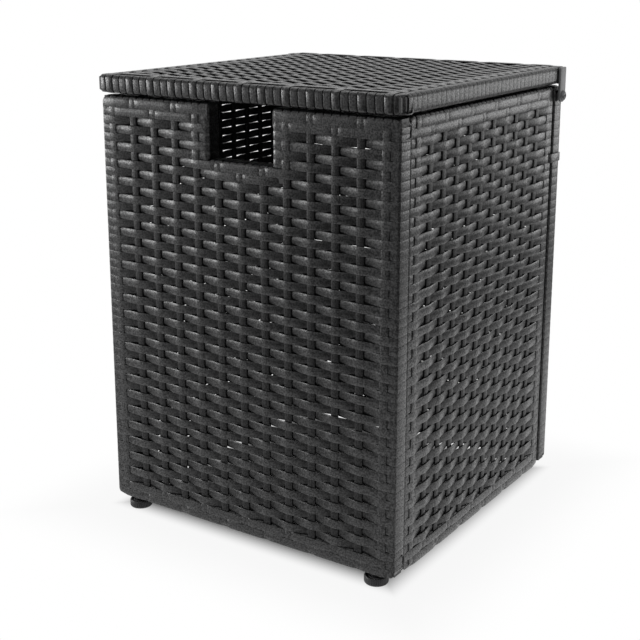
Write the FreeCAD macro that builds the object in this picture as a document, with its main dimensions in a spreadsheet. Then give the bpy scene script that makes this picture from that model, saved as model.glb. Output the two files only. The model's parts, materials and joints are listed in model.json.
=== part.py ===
import FreeCAD, Part
import math
import os

import Sketcher

# A square side table that hides a gas bottle: four woven panels on square tube frames,
# a hose notch in the front one, a hinged woven lid and eight screwed levelling feet.
# Millimetres, Z up, the floor at Z = 0, the origin under the middle, the front at -Y.

# Driving sizes

SIZES = {
    "body_width": 400.0,      # outside the front panel, and outside the side panels
    "ground_gap": 15.0,       # floor to the underside of the panels
    "body_top": 512.0,        # top of the panels
    "tube": 18.0,             # square steel tube of all five frames
    "tube_wall": 1.2,
    "tube_ease": 1.9,         # bevel on the tube's long edges
    "wrap": 1.2,              # one strip of weaving over a tube
    "wrap_ease": 2.6,         # bevel on the wrapped edges
    "fit_gap": 0.05,          # between pieces that touch
    "weave_rise": 1.6,        # body's face to the face of the wrapped tubes
    "web_drop": 0.5,          # wrapped tube's face to the face of the woven sheet
    "web": 3.2,               # thickness of the woven sheet
    "stake_width": 9.0,       # the upright strips
    "stake_rise": 1.3,        # how far they stand out of the wrapped tubes' face
    "stake_root": 0.8,        # and how far they reach behind it
    "stake_inset": 16.0,      # panel's edge to the middle of the first upright strip
    "opening_width": 19.0,    # openings through the lid's woven sheet
    "opening_depth": 6.0,
    "opening_rows": 6,
    "front_stakes": 13,
    "side_stakes": 12,
    "corner_round": 8.0,      # corners of a panel, seen from its woven side
    "seam": 0.8,              # between two panels at a corner
    "notch_width": 86.0,      # hose notch, between its wrapped sides
    "notch_depth": 62.0,
    "lid_width": 404.0,
    "lid_gap": 3.0,           # top of the panels to the underside of the lid
    "bar_width": 16.0,        # two flat tubes under the lid's weave
    "bar_depth": 10.0,
    "bar_drop": 5.5,          # lid's top to the bars
    "bar_place": 68.0,        # middle of the lid to the middle of a bar
    "pad_size": 10.0,         # rubber pads between the lid and the side panels
    "pad_height": 2.7,
    "pad_place": 140.0,
    "pivot_drop": 11.7,       # top of the panels to the hinge bolts
    "hinge_bolt": 6.0,
    "hinge_head": 12.5,
    "hinge_head_rise": 3.2,
    "hinge_grip": 14.0,       # length of the hinge bolt inside the back panel
    "spacer_flats": 11.0,
    "plate_width": 16.0,      # flat bar hinge plates
    "plate_thick": 3.0,
    "plate_rise": 34.7,       # hinge bolt to the top of the plate
    "plate_gap": 0.5,         # lid's wrapped side to the plate
    "plate_play": 0.2,        # each side of the plate on its bolt
    "weld_width": 10.0,       # weld between a hinge plate and the lid's tube
    "weld_height": 10.0,
    "weld_rise": 20.0,        # hinge bolt to the low end of the weld
    "joining_bolt": 6.0,      # bolts that join the panels at their corners
    "joining_head": 10.0,
    "joining_head_rise": 4.0,
    "joining_gap": 6.2,       # square gap in the weave where a joining bolt passes
    "joining_low": 95.0,
    "joining_high": 430.0,
    "joining_reach": 10.4,    # body's face to the tip of a joining bolt
    "insert_flats": 9.0,      # threaded six-sided inserts
    "insert_length": 11.0,
    "foot_size": 27.5,        # over the knurls of a levelling foot
    "foot_ridge": 1.1,
    "foot_ridges": 12,
    "foot_skirt": 9.6,
    "foot_hub": 14.0,         # across the flats of the spanner hub
    "foot_play": 0.3,         # hub to the panel above it
    "foot_inset": 28.0,       # side of the body to a foot under the front or back panel
    "side_foot_place": 75.0,  # middle of a side to each foot under it
    "stud": 8.0,
    "stud_top": 32.5,         # floor to the top of a foot's stud
    "nut_flats": 13.0,        # long six-sided nuts for the feet
    "nut_height": 14.0,
    "nut_window": 10.0,       # gap in a side panel's weave where a nut meets the tube
    "tie_width": 10.5,        # flat strip that laces the seam at the rear
    "tie_thick": 1.2,
    "tie_height": 423.0,      # floor to the middle of the strip
    "running": 0.05,          # radial clearance of what turns or slides
}

# Sums of the driving sizes that many pieces share, as expressions

HALF_WIDTH = "(Sizes.body_width / 2)"
LID_HALF = "(Sizes.lid_width / 2)"
RING = "(Sizes.tube + 2 * Sizes.wrap)"
DEPTH = "(Sizes.weave_rise + Sizes.tube + 2 * Sizes.wrap)"
TUBE_FACE = "(Sizes.weave_rise + Sizes.wrap)"
TUBE_MIDDLE = "(Sizes.weave_rise + Sizes.wrap + Sizes.tube / 2)"
TUBE_LINE = "(Sizes.body_width / 2 - Sizes.weave_rise - Sizes.wrap - Sizes.tube / 2)"
SIDE_HALF = "(Sizes.body_width / 2 - %s - Sizes.seam)" % DEPTH
NOTCH_HALF = "(Sizes.notch_width / 2)"
LID_TOP = "(Sizes.body_top + Sizes.lid_gap + %s)" % DEPTH
PIVOT_HEIGHT = "(Sizes.body_top - Sizes.pivot_drop)"
PLATE_INSIDE = "(Sizes.lid_width / 2 + Sizes.plate_gap)"
JOINING_HEIGHTS = ("Sizes.joining_low", "Sizes.joining_high")
TUBE_FRONT = SIZES["weave_rise"] + SIZES["wrap"]
TUBE_BACK = TUBE_FRONT + SIZES["tube"]

SIDES = ((-1, "left"), (1, "right"))
X_AXIS = FreeCAD.Vector(1, 0, 0)
Z_AXIS = FreeCAD.Vector(0, 0, 1)

os.makedirs("parts", exist_ok=True)
doc = FreeCAD.newDocument("TankCoverTable")
sheet = doc.addObject("Spreadsheet::Sheet", "Sizes")
for row, (alias, value) in enumerate(SIZES.items(), start=1):
    sheet.set("A%d" % row, alias)
    sheet.set("B%d" % row, str(value))
    sheet.setAlias("B%d" % row, alias)
doc.recompute()


# Sketches

def origin_plane(body, role):
    """One of the body's own three planes."""
    return next(f for f in body.Origin.OriginFeatures if f.Role == role)


def new_sketch(body, tag, role, offset):
    """A sketch on a plane of the body, moved along that plane's normal by an expression."""
    sketch = body.newObject("Sketcher::SketchObject", "%s_%s" % (body.Name, tag))
    sketch.AttachmentSupport = (origin_plane(body, role), [""])
    sketch.MapMode = "FlatFace"
    sketch.setExpression("AttachmentOffset.Base.z", offset)
    return sketch


def bind(sketch, constraint, label, expression):
    """Adds a constraint whose value follows the sheet."""
    number = sketch.addConstraint(constraint)
    sketch.renameConstraint(number, label)
    sketch.setExpression("Constraints." + label, expression)


def add_outline(sketch, corners, tag):
    """A closed outline of straight lines; every corner's place follows the sheet."""
    count = len(corners)
    first = sketch.GeometryCount
    rough = [FreeCAD.Vector(10 * i + 5, 7 * i * (count - i) + 3, 0) for i in range(count)]
    for i in range(count):
        sketch.addGeometry(Part.LineSegment(rough[i], rough[(i + 1) % count]), False)
    for i in range(count):
        following = first + (i + 1) % count
        sketch.addConstraint(Sketcher.Constraint("Coincident", first + i, 2, following, 1))
    for i, (across, up) in enumerate(corners):
        start = rough[i]
        at_across = Sketcher.Constraint("DistanceX", first + i, 1, start.x)
        at_up = Sketcher.Constraint("DistanceY", first + i, 1, start.y)
        bind(sketch, at_across, "across_%s_%d" % (tag, i), across)
        bind(sketch, at_up, "up_%s_%d" % (tag, i), up)


def add_circle(sketch, across, up, radius, tag):
    """A circle whose centre and radius follow the sheet."""
    circle = Part.Circle(FreeCAD.Vector(5, 3, 0), Z_AXIS, 2)
    number = sketch.addGeometry(circle, False)
    bind(sketch, Sketcher.Constraint("DistanceX", number, 3, 5), "across_" + tag, across)
    bind(sketch, Sketcher.Constraint("DistanceY", number, 3, 3), "up_" + tag, up)
    bind(sketch, Sketcher.Constraint("Radius", number, 2), "radius_" + tag, radius)


def rectangle(left, right, low, high):
    """The four corners of an upright rectangle."""
    return [(left, low), (right, low), (right, high), (left, high)]


def ring_of_corners(across, up, radii, count, turn=0.0):
    """Corners evenly spread about a place, their distances from it taken in turn from radii."""
    corners = []
    for i in range(count):
        angle = math.radians(360 * i / count + turn)
        radius = radii[i % len(radii)]
        place_across = "%s + %.6f * (%s)" % (across, math.cos(angle), radius)
        place_up = "%s + %.6f * (%s)" % (up, math.sin(angle), radius)
        corners.append((place_across, place_up))
    return corners


def hexagon(across, up, flats, turn):
    """The corners of a hexagon about a place; at turn 0 a corner lies on the first axis."""
    return ring_of_corners(across, up, ["(%s) / sqrt(3)" % flats], 6, turn)


def clearance_hole(across, up):
    """An eight-sided hole that clears a joining bolt."""
    radius = "(Sizes.joining_bolt / 2 + Sizes.fit_gap) / %.6f" % math.cos(math.pi / 8)
    return ring_of_corners(across, up, [radius], 8)


# Features

def new_body(name):
    """An empty body, named as its file."""
    body = doc.addObject("PartDesign::Body", name)
    body.Label = name
    return body


def add_pad(body, sketch, length, reverse=False):
    """A pad of the sketch; its length is an expression."""
    pad = body.newObject("PartDesign::Pad", sketch.Name + "_pad")
    pad.Profile = sketch
    pad.Reversed = reverse
    pad.setExpression("Length", length)
    doc.recompute()
    return pad


def add_pocket(body, sketch, length, reverse=False, both_ways=False):
    """A pocket of the sketch; it has to take something away."""
    before = body.Shape.Volume
    pocket = body.newObject("PartDesign::Pocket", sketch.Name + "_pocket")
    pocket.Profile = sketch
    pocket.Reversed = reverse
    if both_ways:
        pocket.SideType = "Symmetric"
    pocket.setExpression("Length", length)
    doc.recompute()
    if not body.Shape.Volume < before - 0.01:
        raise RuntimeError("%s cuts nothing" % pocket.Name)
    return pocket


def ease_edges(body, base, edges, kind, size):
    """Rounds or bevels the named edges of the base feature."""
    feature = body.newObject("PartDesign::" + kind, "%s_%s" % (base.Name, kind.lower()))
    feature.Base = (base, edges)
    feature.setExpression("Radius" if kind == "Fillet" else "Size", size)
    doc.recompute()
    return feature


def near(one, other):
    """Equal to a thousandth of a millimetre."""
    return abs(one - other) < 0.001


def edge_names(shape, wanted):
    """The names of the shape's edges that the test picks."""
    return ["Edge%d" % (i + 1) for i, edge in enumerate(shape.Edges) if wanted(edge)]


def in_plane(edge, place):
    """True for an edge that lies in the plane Y = place."""
    return near(edge.BoundBox.YMin, place) and near(edge.BoundBox.YMax, place)


# Loose solids

def put(piece, place, rotation):
    """Turns a solid and binds its place to the sheet."""
    piece.Placement = FreeCAD.Placement(FreeCAD.Vector(0, 0, 0), rotation)
    for axis, expression in zip("xyz", place):
        piece.setExpression("Placement.Base." + axis, expression)
    return piece


def along(direction):
    """The turn that lays a solid's length along a direction, with no twist."""
    return FreeCAD.Rotation(Z_AXIS, direction)


def round_bar(name, radius, length, place, rotation):
    """A round bar that starts at a place."""
    bar = doc.addObject("Part::Cylinder", name)
    bar.setExpression("Radius", radius)
    bar.setExpression("Height", length)
    return put(bar, place, rotation)


def sided_bar(name, sides, flats, length, place, rotation):
    """A bar with flat sides that starts at a place, one corner on its own first axis."""
    bar = doc.addObject("Part::Prism", name)
    bar.Polygon = sides
    bar.setExpression("Circumradius", "(%s) / 2 / %.6f" % (flats, math.cos(math.pi / sides)))
    bar.setExpression("Height", length)
    return put(bar, place, rotation)


def box(name, size, place):
    """A block that starts at its low corner."""
    block = doc.addObject("Part::Box", name)
    for side, expression in zip(("Length", "Width", "Height"), size):
        block.setExpression(side, expression)
    return put(block, place, FreeCAD.Rotation())


def cut(name, base, tool):
    """One solid less another."""
    result = doc.addObject("Part::Cut", name)
    result.Base = base
    result.Tool = tool
    return result


def fuse(name, pieces):
    """Several solids joined into one."""
    result = doc.addObject("Part::MultiFuse", name)
    result.Shapes = pieces
    result.Refine = True
    return result


def group(name, pieces):
    """Like pieces that share a node, each still a solid of its own."""
    result = doc.addObject("Part::Compound", name)
    result.Links = pieces
    result.Label = name
    return result


def signed(sign, expression):
    """An expression on the chosen side of the middle."""
    return "%d * %s" % (sign, expression)


# Panels: each is modelled as the front one, its woven face towards -Y and nearest at Y = 0,
# and is then placed. The lid is such a panel laid flat.

class Panel:
    """Where a panel's edges lie, as expressions of the sheet."""

    def __init__(self, name, half, low, high, stakes, notched=False, see_through=False):
        self.name = name
        self.half = half
        self.low = low
        self.high = high
        self.stakes = stakes
        self.notched = notched
        self.see_through = see_through

    def outline(self, inset):
        """The panel's outline, drawn in by an inset; it steps down round the hose notch."""
        left = "-%s + %s" % (self.half, inset)
        right = "%s - %s" % (self.half, inset)
        low = "%s + %s" % (self.low, inset)
        high = "%s - %s" % (self.high, inset)
        if not self.notched:
            return rectangle(left, right, low, high)
        notch_left = "-%s - %s" % (NOTCH_HALF, inset)
        notch_right = "%s + %s" % (NOTCH_HALF, inset)
        lip = "%s - Sizes.notch_depth - %s" % (self.high, inset)
        return [
            (left, low),
            (right, low),
            (right, high),
            (notch_right, high),
            (notch_right, lip),
            (notch_left, lip),
            (notch_left, high),
            (left, high),
        ]

    def stake_pitch(self):
        """The distance between two upright strips."""
        return "((2 * %s - 2 * Sizes.stake_inset) / (Sizes.%s - 1))" % (self.half, self.stakes)

    def stake_groups(self):
        """First upright strip, how many, and their top: those under the notch end at its lip."""
        count = SIZES[self.stakes]
        full = "%s - Sizes.wrap_ease" % self.high
        if not self.notched:
            return [(0, count, full)]
        beside = (count - 3) // 2
        lip = "%s - Sizes.notch_depth - Sizes.wrap_ease" % self.high
        return [(0, beside, full), (beside, 3, lip), (beside + 3, beside, full)]


def add_ring(body, panel, tag, outer_inset, inner_inset, face, length, hollow=False):
    """A flat ring between two insets of the panel's outline, added or taken away."""
    sketch = new_sketch(body, tag, "XZ_Plane", "-(%s)" % face)
    add_outline(sketch, panel.outline(outer_inset), "outer")
    add_outline(sketch, panel.outline(inner_inset), "inner")
    doc.recompute()
    if hollow:
        return add_pocket(body, sketch, length)
    return add_pad(body, sketch, length, reverse=True)


def ease_tube_ring(body, base, front, back, size):
    """Eases the long edges of a square tube ring, or of the channel that holds it."""
    long_edges = edge_names(base.Shape, lambda edge: in_plane(edge, front) or in_plane(edge, back))
    return ease_edges(body, base, long_edges, "Chamfer", size)


def ease_wrapped_ring(body, base):
    """Rounds a wrapped ring's outer corners, then eases the edges of its wrapped tubes."""
    box_now = base.Shape.BoundBox

    def at_corner(edge):
        middle = edge.BoundBox.Center
        through = near(edge.BoundBox.YMin, box_now.YMin) and near(edge.BoundBox.YMax, box_now.YMax)
        at_side = near(abs(middle.x), box_now.XMax)
        at_end = near(middle.z, box_now.ZMin) or near(middle.z, box_now.ZMax)
        return through and at_side and at_end

    corners = edge_names(base.Shape, at_corner)
    rounded = ease_edges(body, base, corners, "Fillet", "Sizes.corner_round")
    shape = rounded.Shape
    front = next(f for f in shape.Faces if near(f.BoundBox.YMax, shape.BoundBox.YMin))
    front_outline = front.OuterWire.Edges

    def is_seen(edge):
        at_front = any(edge.isSame(other) for other in front_outline)
        return at_front or in_plane(edge, shape.BoundBox.YMax)

    return ease_edges(body, rounded, edge_names(shape, is_seen), "Chamfer", "Sizes.wrap_ease")


def repeat(body, feature, sketch, count, pitch):
    """Repeats a feature along the sketch's first axis, at a pitch given as an expression."""
    pattern = body.newObject("PartDesign::LinearPattern", sketch.Name + "_pattern")
    pattern.Originals = [feature]
    pattern.Direction = (sketch, ["H_Axis"])
    pattern.Occurrences = count
    pattern.setExpression("Length", "%d * %s" % (count - 1, pitch))
    body.Tip = pattern
    doc.recompute()


def add_stakes(body, panel, first, count, top):
    """A run of upright strips that stand out from the woven face."""
    pitch = panel.stake_pitch()
    middle = "-%s + Sizes.stake_inset + %d * %s" % (panel.half, first, pitch)
    left = "%s - Sizes.stake_width / 2" % middle
    right = "%s + Sizes.stake_width / 2" % middle
    low = "%s + Sizes.wrap_ease" % panel.low
    face = "-(Sizes.weave_rise - Sizes.stake_rise)"
    sketch = new_sketch(body, "stake_%d" % first, "XZ_Plane", face)
    add_outline(sketch, rectangle(left, right, low, top), "strip")
    pad = add_pad(body, sketch, "Sizes.stake_rise + Sizes.stake_root", reverse=True)
    repeat(body, pad, sketch, count, pitch)


def cut_openings(body, panel):
    """A grid of openings through the woven sheet, a column between every two upright strips."""
    pitch = panel.stake_pitch()
    middle = "-%s + Sizes.stake_inset + %s / 2" % (panel.half, pitch)
    left = "%s - Sizes.opening_width / 2" % middle
    right = "%s + Sizes.opening_width / 2" % middle
    sheet_low = "%s + %s" % (panel.low, RING)
    row_pitch = "((%s - %s - 2 * %s) / Sizes.opening_rows)" % (panel.high, panel.low, RING)
    sketch = new_sketch(body, "openings", "XZ_Plane", "-(Sizes.weave_rise + Sizes.web_drop)")
    for row in range(SIZES["opening_rows"]):
        height = "%s + %.1f * %s" % (sheet_low, row + 0.5, row_pitch)
        low = "%s - Sizes.opening_depth / 2" % height
        high = "%s + Sizes.opening_depth / 2" % height
        add_outline(sketch, rectangle(left, right, low, high), "row%d" % row)
    doc.recompute()
    pocket = add_pocket(body, sketch, "Sizes.web")
    repeat(body, pocket, sketch, SIZES[panel.stakes] - 1, pitch)


def add_skin(panel):
    """A panel's woven skin, solid as yet: wrapped tubes, woven sheet and upright strips."""
    body = new_body(panel.name + "_skin")
    ring = add_ring(body, panel, "wrap", "0", RING, "Sizes.weave_rise", RING)
    ease_wrapped_ring(body, ring)
    web = new_sketch(body, "web", "XZ_Plane", "-(Sizes.weave_rise + Sizes.web_drop)")
    add_outline(web, panel.outline("(%s - Sizes.wrap / 2)" % RING), "sheet")
    add_pad(body, web, "Sizes.web", reverse=True)
    if panel.see_through:
        cut_openings(body, panel)
    for first, count, top in panel.stake_groups():
        add_stakes(body, panel, first, count, top)
    return body


def add_weave(panel, skin):
    """The skin less the room for the panel's steel frame."""
    room = new_body(panel.name + "_room")
    face = "%s - Sizes.fit_gap" % TUBE_FACE
    outside = "(Sizes.wrap - Sizes.fit_gap)"
    inside = "(Sizes.wrap + Sizes.tube + Sizes.fit_gap)"
    ring = add_ring(room, panel, "ring", outside, inside, face, "Sizes.tube + 2 * Sizes.fit_gap")
    front = TUBE_FRONT - SIZES["fit_gap"]
    back = TUBE_BACK + SIZES["fit_gap"]
    ease_tube_ring(room, ring, front, back, "Sizes.tube_ease")
    weave = cut(panel.name + "_weave", skin, room)
    weave.Label = weave.Name
    return weave


def add_frame(panel):
    """The welded ring of square tube inside a panel."""
    body = new_body(panel.name + "_frame")
    ring = add_ring(body, panel, "tube", "Sizes.wrap", "(Sizes.wrap + Sizes.tube)", TUBE_FACE, "Sizes.tube")
    ease_tube_ring(body, ring, TUBE_FRONT, TUBE_BACK, "Sizes.tube_ease")
    outside = "(Sizes.wrap + Sizes.tube_wall)"
    inside = "(Sizes.wrap + Sizes.tube - Sizes.tube_wall)"
    face = "%s + Sizes.tube_wall" % TUBE_FACE
    add_ring(body, panel, "bore", outside, inside, face, "Sizes.tube - 2 * Sizes.tube_wall", hollow=True)
    return body


# Holes in the panels, each cut in the panel's own position

def cut_foot_holes(body):
    """Hexagonal holes in the underside of a front or back panel, for the foot nuts."""
    sketch = new_sketch(body, "foot_holes", "XY_Plane", "Sizes.ground_gap")
    place = "(%s - Sizes.foot_inset)" % HALF_WIDTH
    for sign, side in SIDES:
        corners = hexagon(signed(sign, place), TUBE_MIDDLE, "Sizes.nut_flats + 2 * Sizes.fit_gap", 0)
        add_outline(sketch, corners, side)
    doc.recompute()
    add_pocket(body, sketch, "Sizes.wrap + Sizes.tube_wall", reverse=True)


def cut_nut_windows(body):
    """Windows in the inner face of a side panel's weave, where the nuts meet the tube."""
    sketch = new_sketch(body, "nut_windows", "XZ_Plane", "-%s" % DEPTH)
    low = "Sizes.ground_gap - Sizes.wrap"
    high = "Sizes.ground_gap + Sizes.nut_height"
    for sign, side in SIDES:
        middle = signed(sign, "Sizes.side_foot_place")
        left = "%s - Sizes.nut_window / 2" % middle
        right = "%s + Sizes.nut_window / 2" % middle
        add_outline(sketch, rectangle(left, right, low, high), side)
    doc.recompute()
    add_pocket(body, sketch, "Sizes.wrap", reverse=True)


def strip_gap(across, up):
    """A square gap between two strips of the weave, where a joining bolt passes."""
    half = "Sizes.joining_gap / 2"
    return rectangle(
        "%s - %s" % (across, half),
        "%s + %s" % (across, half),
        "%s - %s" % (up, half),
        "%s + %s" % (up, half),
    )


def insert_seat(across, up):
    """A six-sided hole that holds a threaded insert."""
    return hexagon(across, up, "Sizes.insert_flats + 2 * Sizes.fit_gap", 0)


def cut_joining_passages(body, panel, hole):
    """Holes right through both uprights of a side panel, for the bolts that join the corners."""
    sketch = new_sketch(body, "joining", "YZ_Plane", "0")
    for number, height in enumerate(JOINING_HEIGHTS):
        add_outline(sketch, hole(TUBE_MIDDLE, height), "bolt%d" % number)
    doc.recompute()
    add_pocket(body, sketch, "2 * %s" % panel.half, both_ways=True)


def cut_joining_seats(body, hole):
    """Holes in the inner face of a front or back panel, for the same bolts."""
    sketch = new_sketch(body, "seats", "XZ_Plane", "-%s" % DEPTH)
    for number, height in enumerate(JOINING_HEIGHTS):
        for sign, side in SIDES:
            add_outline(sketch, hole(signed(sign, TUBE_LINE), height), "seat%d%s" % (number, side))
    doc.recompute()
    add_pocket(body, sketch, "Sizes.wrap + Sizes.tube_wall", reverse=True)


def cut_side_wall(body, half, deep, draw, tag):
    """The same holes in the outer side walls of a panel, left and right."""
    for sign, side in SIDES:
        sketch = new_sketch(body, "%s_%s" % (tag, side), "YZ_Plane", signed(sign, half))
        draw(sketch)
        doc.recompute()
        add_pocket(body, sketch, deep, reverse=sign < 0)


def draw_spacer_hole(sketch):
    """The hinge spacer's hole in the back panel's weave."""
    flats = "Sizes.spacer_flats + 2 * Sizes.fit_gap"
    add_outline(sketch, hexagon(TUBE_MIDDLE, PIVOT_HEIGHT, flats, 90), "spacer")


def draw_insert_hole(sketch):
    """The hinge insert's hole in the back panel's tube."""
    flats = "Sizes.insert_flats + 2 * Sizes.fit_gap"
    add_outline(sketch, hexagon(TUBE_MIDDLE, PIVOT_HEIGHT, flats, 90), "insert")


def draw_weld_gap(sketch):
    """The gap in the lid's weave for the weld of a hinge plate."""
    low = "%s - (%s + Sizes.weld_rise + Sizes.weld_height) - Sizes.fit_gap" % (LID_TOP, PIVOT_HEIGHT)
    high = "%s - (%s + Sizes.weld_rise) + Sizes.fit_gap" % (LID_TOP, PIVOT_HEIGHT)
    left = "%s - Sizes.weld_width / 2 - Sizes.fit_gap" % TUBE_LINE
    right = "%s + Sizes.weld_width / 2 + Sizes.fit_gap" % TUBE_LINE
    add_outline(sketch, rectangle(low, high, left, right), "weld")


def cut_bar_passages(body):
    """Holes in the inner walls of the lid's wrapped tubes, where the two bars pass."""
    sketch = new_sketch(body, "bars", "XY_Plane", "0")
    near_face = "Sizes.bar_drop - Sizes.fit_gap"
    far_face = "Sizes.bar_drop + Sizes.bar_depth + Sizes.fit_gap"
    for sign, side in SIDES:
        middle = signed(sign, "Sizes.bar_place")
        left = "%s - Sizes.bar_width / 2 - Sizes.fit_gap" % middle
        right = "%s + Sizes.bar_width / 2 + Sizes.fit_gap" % middle
        add_outline(sketch, rectangle(left, right, near_face, far_face), side)
    doc.recompute()
    add_pocket(body, sketch, "2 * (%s - Sizes.wrap - Sizes.tube)" % LID_HALF, both_ways=True)


# The five panels

FRONT = Panel("front", HALF_WIDTH, "Sizes.ground_gap", "Sizes.body_top", "front_stakes", notched=True)
BACK = Panel("back", HALF_WIDTH, "Sizes.ground_gap", "Sizes.body_top", "front_stakes")
LEFT = Panel("left", SIDE_HALF, "Sizes.ground_gap", "Sizes.body_top", "side_stakes")
RIGHT = Panel("right", SIDE_HALF, "Sizes.ground_gap", "Sizes.body_top", "side_stakes")
LID = Panel("lid", LID_HALF, "-%s" % LID_HALF, LID_HALF, "front_stakes", see_through=True)
PLACINGS = (
    (FRONT, Z_AXIS, 0, ("0", "-%s" % HALF_WIDTH, "0")),
    (BACK, Z_AXIS, 180, ("0", HALF_WIDTH, "0")),
    (LEFT, Z_AXIS, -90, ("-%s" % HALF_WIDTH, "0", "0")),
    (RIGHT, Z_AXIS, 90, (HALF_WIDTH, "0", "0")),
    (LID, X_AXIS, -90, ("0", "0", LID_TOP)),
)

nodes = []
for panel, axis, angle, place in PLACINGS:
    frame = add_frame(panel)
    skin = add_skin(panel)
    if panel in (FRONT, BACK):
        cut_foot_holes(frame)
        cut_foot_holes(skin)
        cut_joining_seats(frame, insert_seat)
        cut_joining_seats(skin, strip_gap)
    if panel in (LEFT, RIGHT):
        cut_joining_passages(frame, panel, clearance_hole)
        cut_joining_passages(skin, panel, strip_gap)
        cut_nut_windows(skin)
    if panel is BACK:
        cut_side_wall(frame, HALF_WIDTH, "Sizes.wrap + Sizes.tube_wall", draw_insert_hole, "insert")
        cut_side_wall(skin, HALF_WIDTH, "Sizes.wrap", draw_spacer_hole, "spacer")
    if panel is LID:
        cut_side_wall(skin, LID_HALF, "Sizes.wrap", draw_weld_gap, "weld")
        cut_bar_passages(skin)
    weave = add_weave(panel, skin)
    for node in (frame, weave):
        put(node, place, FreeCAD.Rotation(axis, angle))
        nodes.append(node)


# The lid's bars and pads

def lid_cross_bars():
    """Two flat tubes under the lid's weave, from the front tube to the rear one."""
    reach = "(%s - Sizes.wrap - Sizes.tube)" % LID_HALF
    bars = []
    for sign in (-1, 1):
        low = "%s - Sizes.bar_drop - Sizes.bar_depth" % LID_TOP
        start = ("%s - Sizes.bar_width / 2" % signed(sign, "Sizes.bar_place"), "-%s" % reach, low)
        size = ("Sizes.bar_width", "2 * %s" % reach, "Sizes.bar_depth")
        solid = box("bar_solid_%d" % (sign + 1), size, start)
        wall = "Sizes.tube_wall"
        bore_start = ("%s + %s" % (start[0], wall), start[1], "%s + %s" % (low, wall))
        bore_size = ("%s - 2 * %s" % (size[0], wall), size[1], "%s - 2 * %s" % (size[2], wall))
        bore = box("bar_bore_%d" % (sign + 1), bore_size, bore_start)
        bars.append(cut("bar_%d" % (sign + 1), solid, bore))
    return group("lid_cross_bars", bars)


def lid_pads():
    """Four rubber pads on the lid's underside, above the side panels."""
    pads = []
    low = "Sizes.body_top + Sizes.lid_gap - Sizes.pad_height"
    half = "Sizes.pad_size / 2"
    for side in (-1, 1):
        for end in (-1, 1):
            across = "%s - %s" % (signed(side, TUBE_LINE), half)
            deep = "%s - %s" % (signed(end, "Sizes.pad_place"), half)
            size = ("Sizes.pad_size", "Sizes.pad_size", "Sizes.pad_height")
            pads.append(box("pad_%d_%d" % (side + 1, end + 1), size, (across, deep, low)))
    return group("lid_pads", pads)


# The hinges

def hinge_plate(sign, side):
    """A flat bar with a round end about the bolt, welded to the lid's side tube."""
    name = "hinge_plate_" + side
    outward = along(sign * X_AXIS)
    at_pivot = (signed(sign, PLATE_INSIDE), TUBE_LINE, PIVOT_HEIGHT)
    low_face = PLATE_INSIDE if sign > 0 else "-%s - Sizes.plate_thick" % PLATE_INSIDE
    bar_start = (low_face, "%s - Sizes.plate_width / 2" % TUBE_LINE, PIVOT_HEIGHT)
    bar = box(name + "_bar", ("Sizes.plate_thick", "Sizes.plate_width", "Sizes.plate_rise"), bar_start)
    end = round_bar(name + "_end", "Sizes.plate_width / 2", "Sizes.plate_thick", at_pivot, outward)
    tube_side = "(%s - Sizes.wrap)" % LID_HALF
    weld_face = tube_side if sign > 0 else "-%s" % PLATE_INSIDE
    weld_start = (weld_face, "%s - Sizes.weld_width / 2" % TUBE_LINE, "%s + Sizes.weld_rise" % PIVOT_HEIGHT)
    weld_size = ("%s - %s" % (PLATE_INSIDE, tube_side), "Sizes.weld_width", "Sizes.weld_height")
    whole = fuse(name + "_whole", [bar, end, box(name + "_weld", weld_size, weld_start)])
    bore = "Sizes.hinge_bolt / 2 + Sizes.running"
    hole = round_bar(name + "_hole", bore, "Sizes.plate_thick", at_pivot, outward)
    plate = cut(name, whole, hole)
    plate.Label = name
    return plate


def hinge_bolt(sign, side):
    """A dome head bolt through the plate and the spacer into the back panel's tube."""
    name = "hinge_bolt_" + side
    outward = along(sign * X_AXIS)
    tip = "(%s - Sizes.hinge_grip)" % HALF_WIDTH
    seat = "(%s + Sizes.plate_thick + Sizes.plate_play)" % PLATE_INSIDE
    rise = SIZES["hinge_head_rise"]
    dome_radius = (SIZES["hinge_head"] ** 2 / 4 + rise ** 2) / (2 * rise)
    chord = "Sizes.hinge_head ^ 2 / 4 + Sizes.hinge_head_rise ^ 2"
    dome_expression = "((%s) / (2 * Sizes.hinge_head_rise))" % chord
    shank_place = (signed(sign, tip), TUBE_LINE, PIVOT_HEIGHT)
    reach = "%s - %s" % (seat, tip)
    shank = round_bar(name + "_shank", "Sizes.hinge_bolt / 2", reach, shank_place, outward)
    dome = doc.addObject("Part::Sphere", name + "_dome")
    dome.Angle1 = math.degrees(math.asin((dome_radius - rise) / dome_radius))
    dome.setExpression("Radius", dome_expression)
    centre = "(%s + Sizes.hinge_head_rise - %s)" % (seat, dome_expression)
    put(dome, (signed(sign, centre), TUBE_LINE, PIVOT_HEIGHT), outward)
    return fuse(name, [shank, dome])


def hinge_spacer(sign, side):
    """A six-sided spacer that keeps the plate off the back panel's tube."""
    name = "hinge_spacer_" + side
    outward = along(sign * X_AXIS)
    start = "(%s - Sizes.wrap)" % HALF_WIDTH
    length = "%s - Sizes.plate_play - %s" % (PLATE_INSIDE, start)
    place = (signed(sign, start), TUBE_LINE, PIVOT_HEIGHT)
    outside = sided_bar(name + "_outside", 6, "Sizes.spacer_flats", length, place, outward)
    hole = round_bar(name + "_hole", "Sizes.hinge_bolt / 2 + Sizes.fit_gap", length, place, outward)
    return cut(name, outside, hole)


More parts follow.
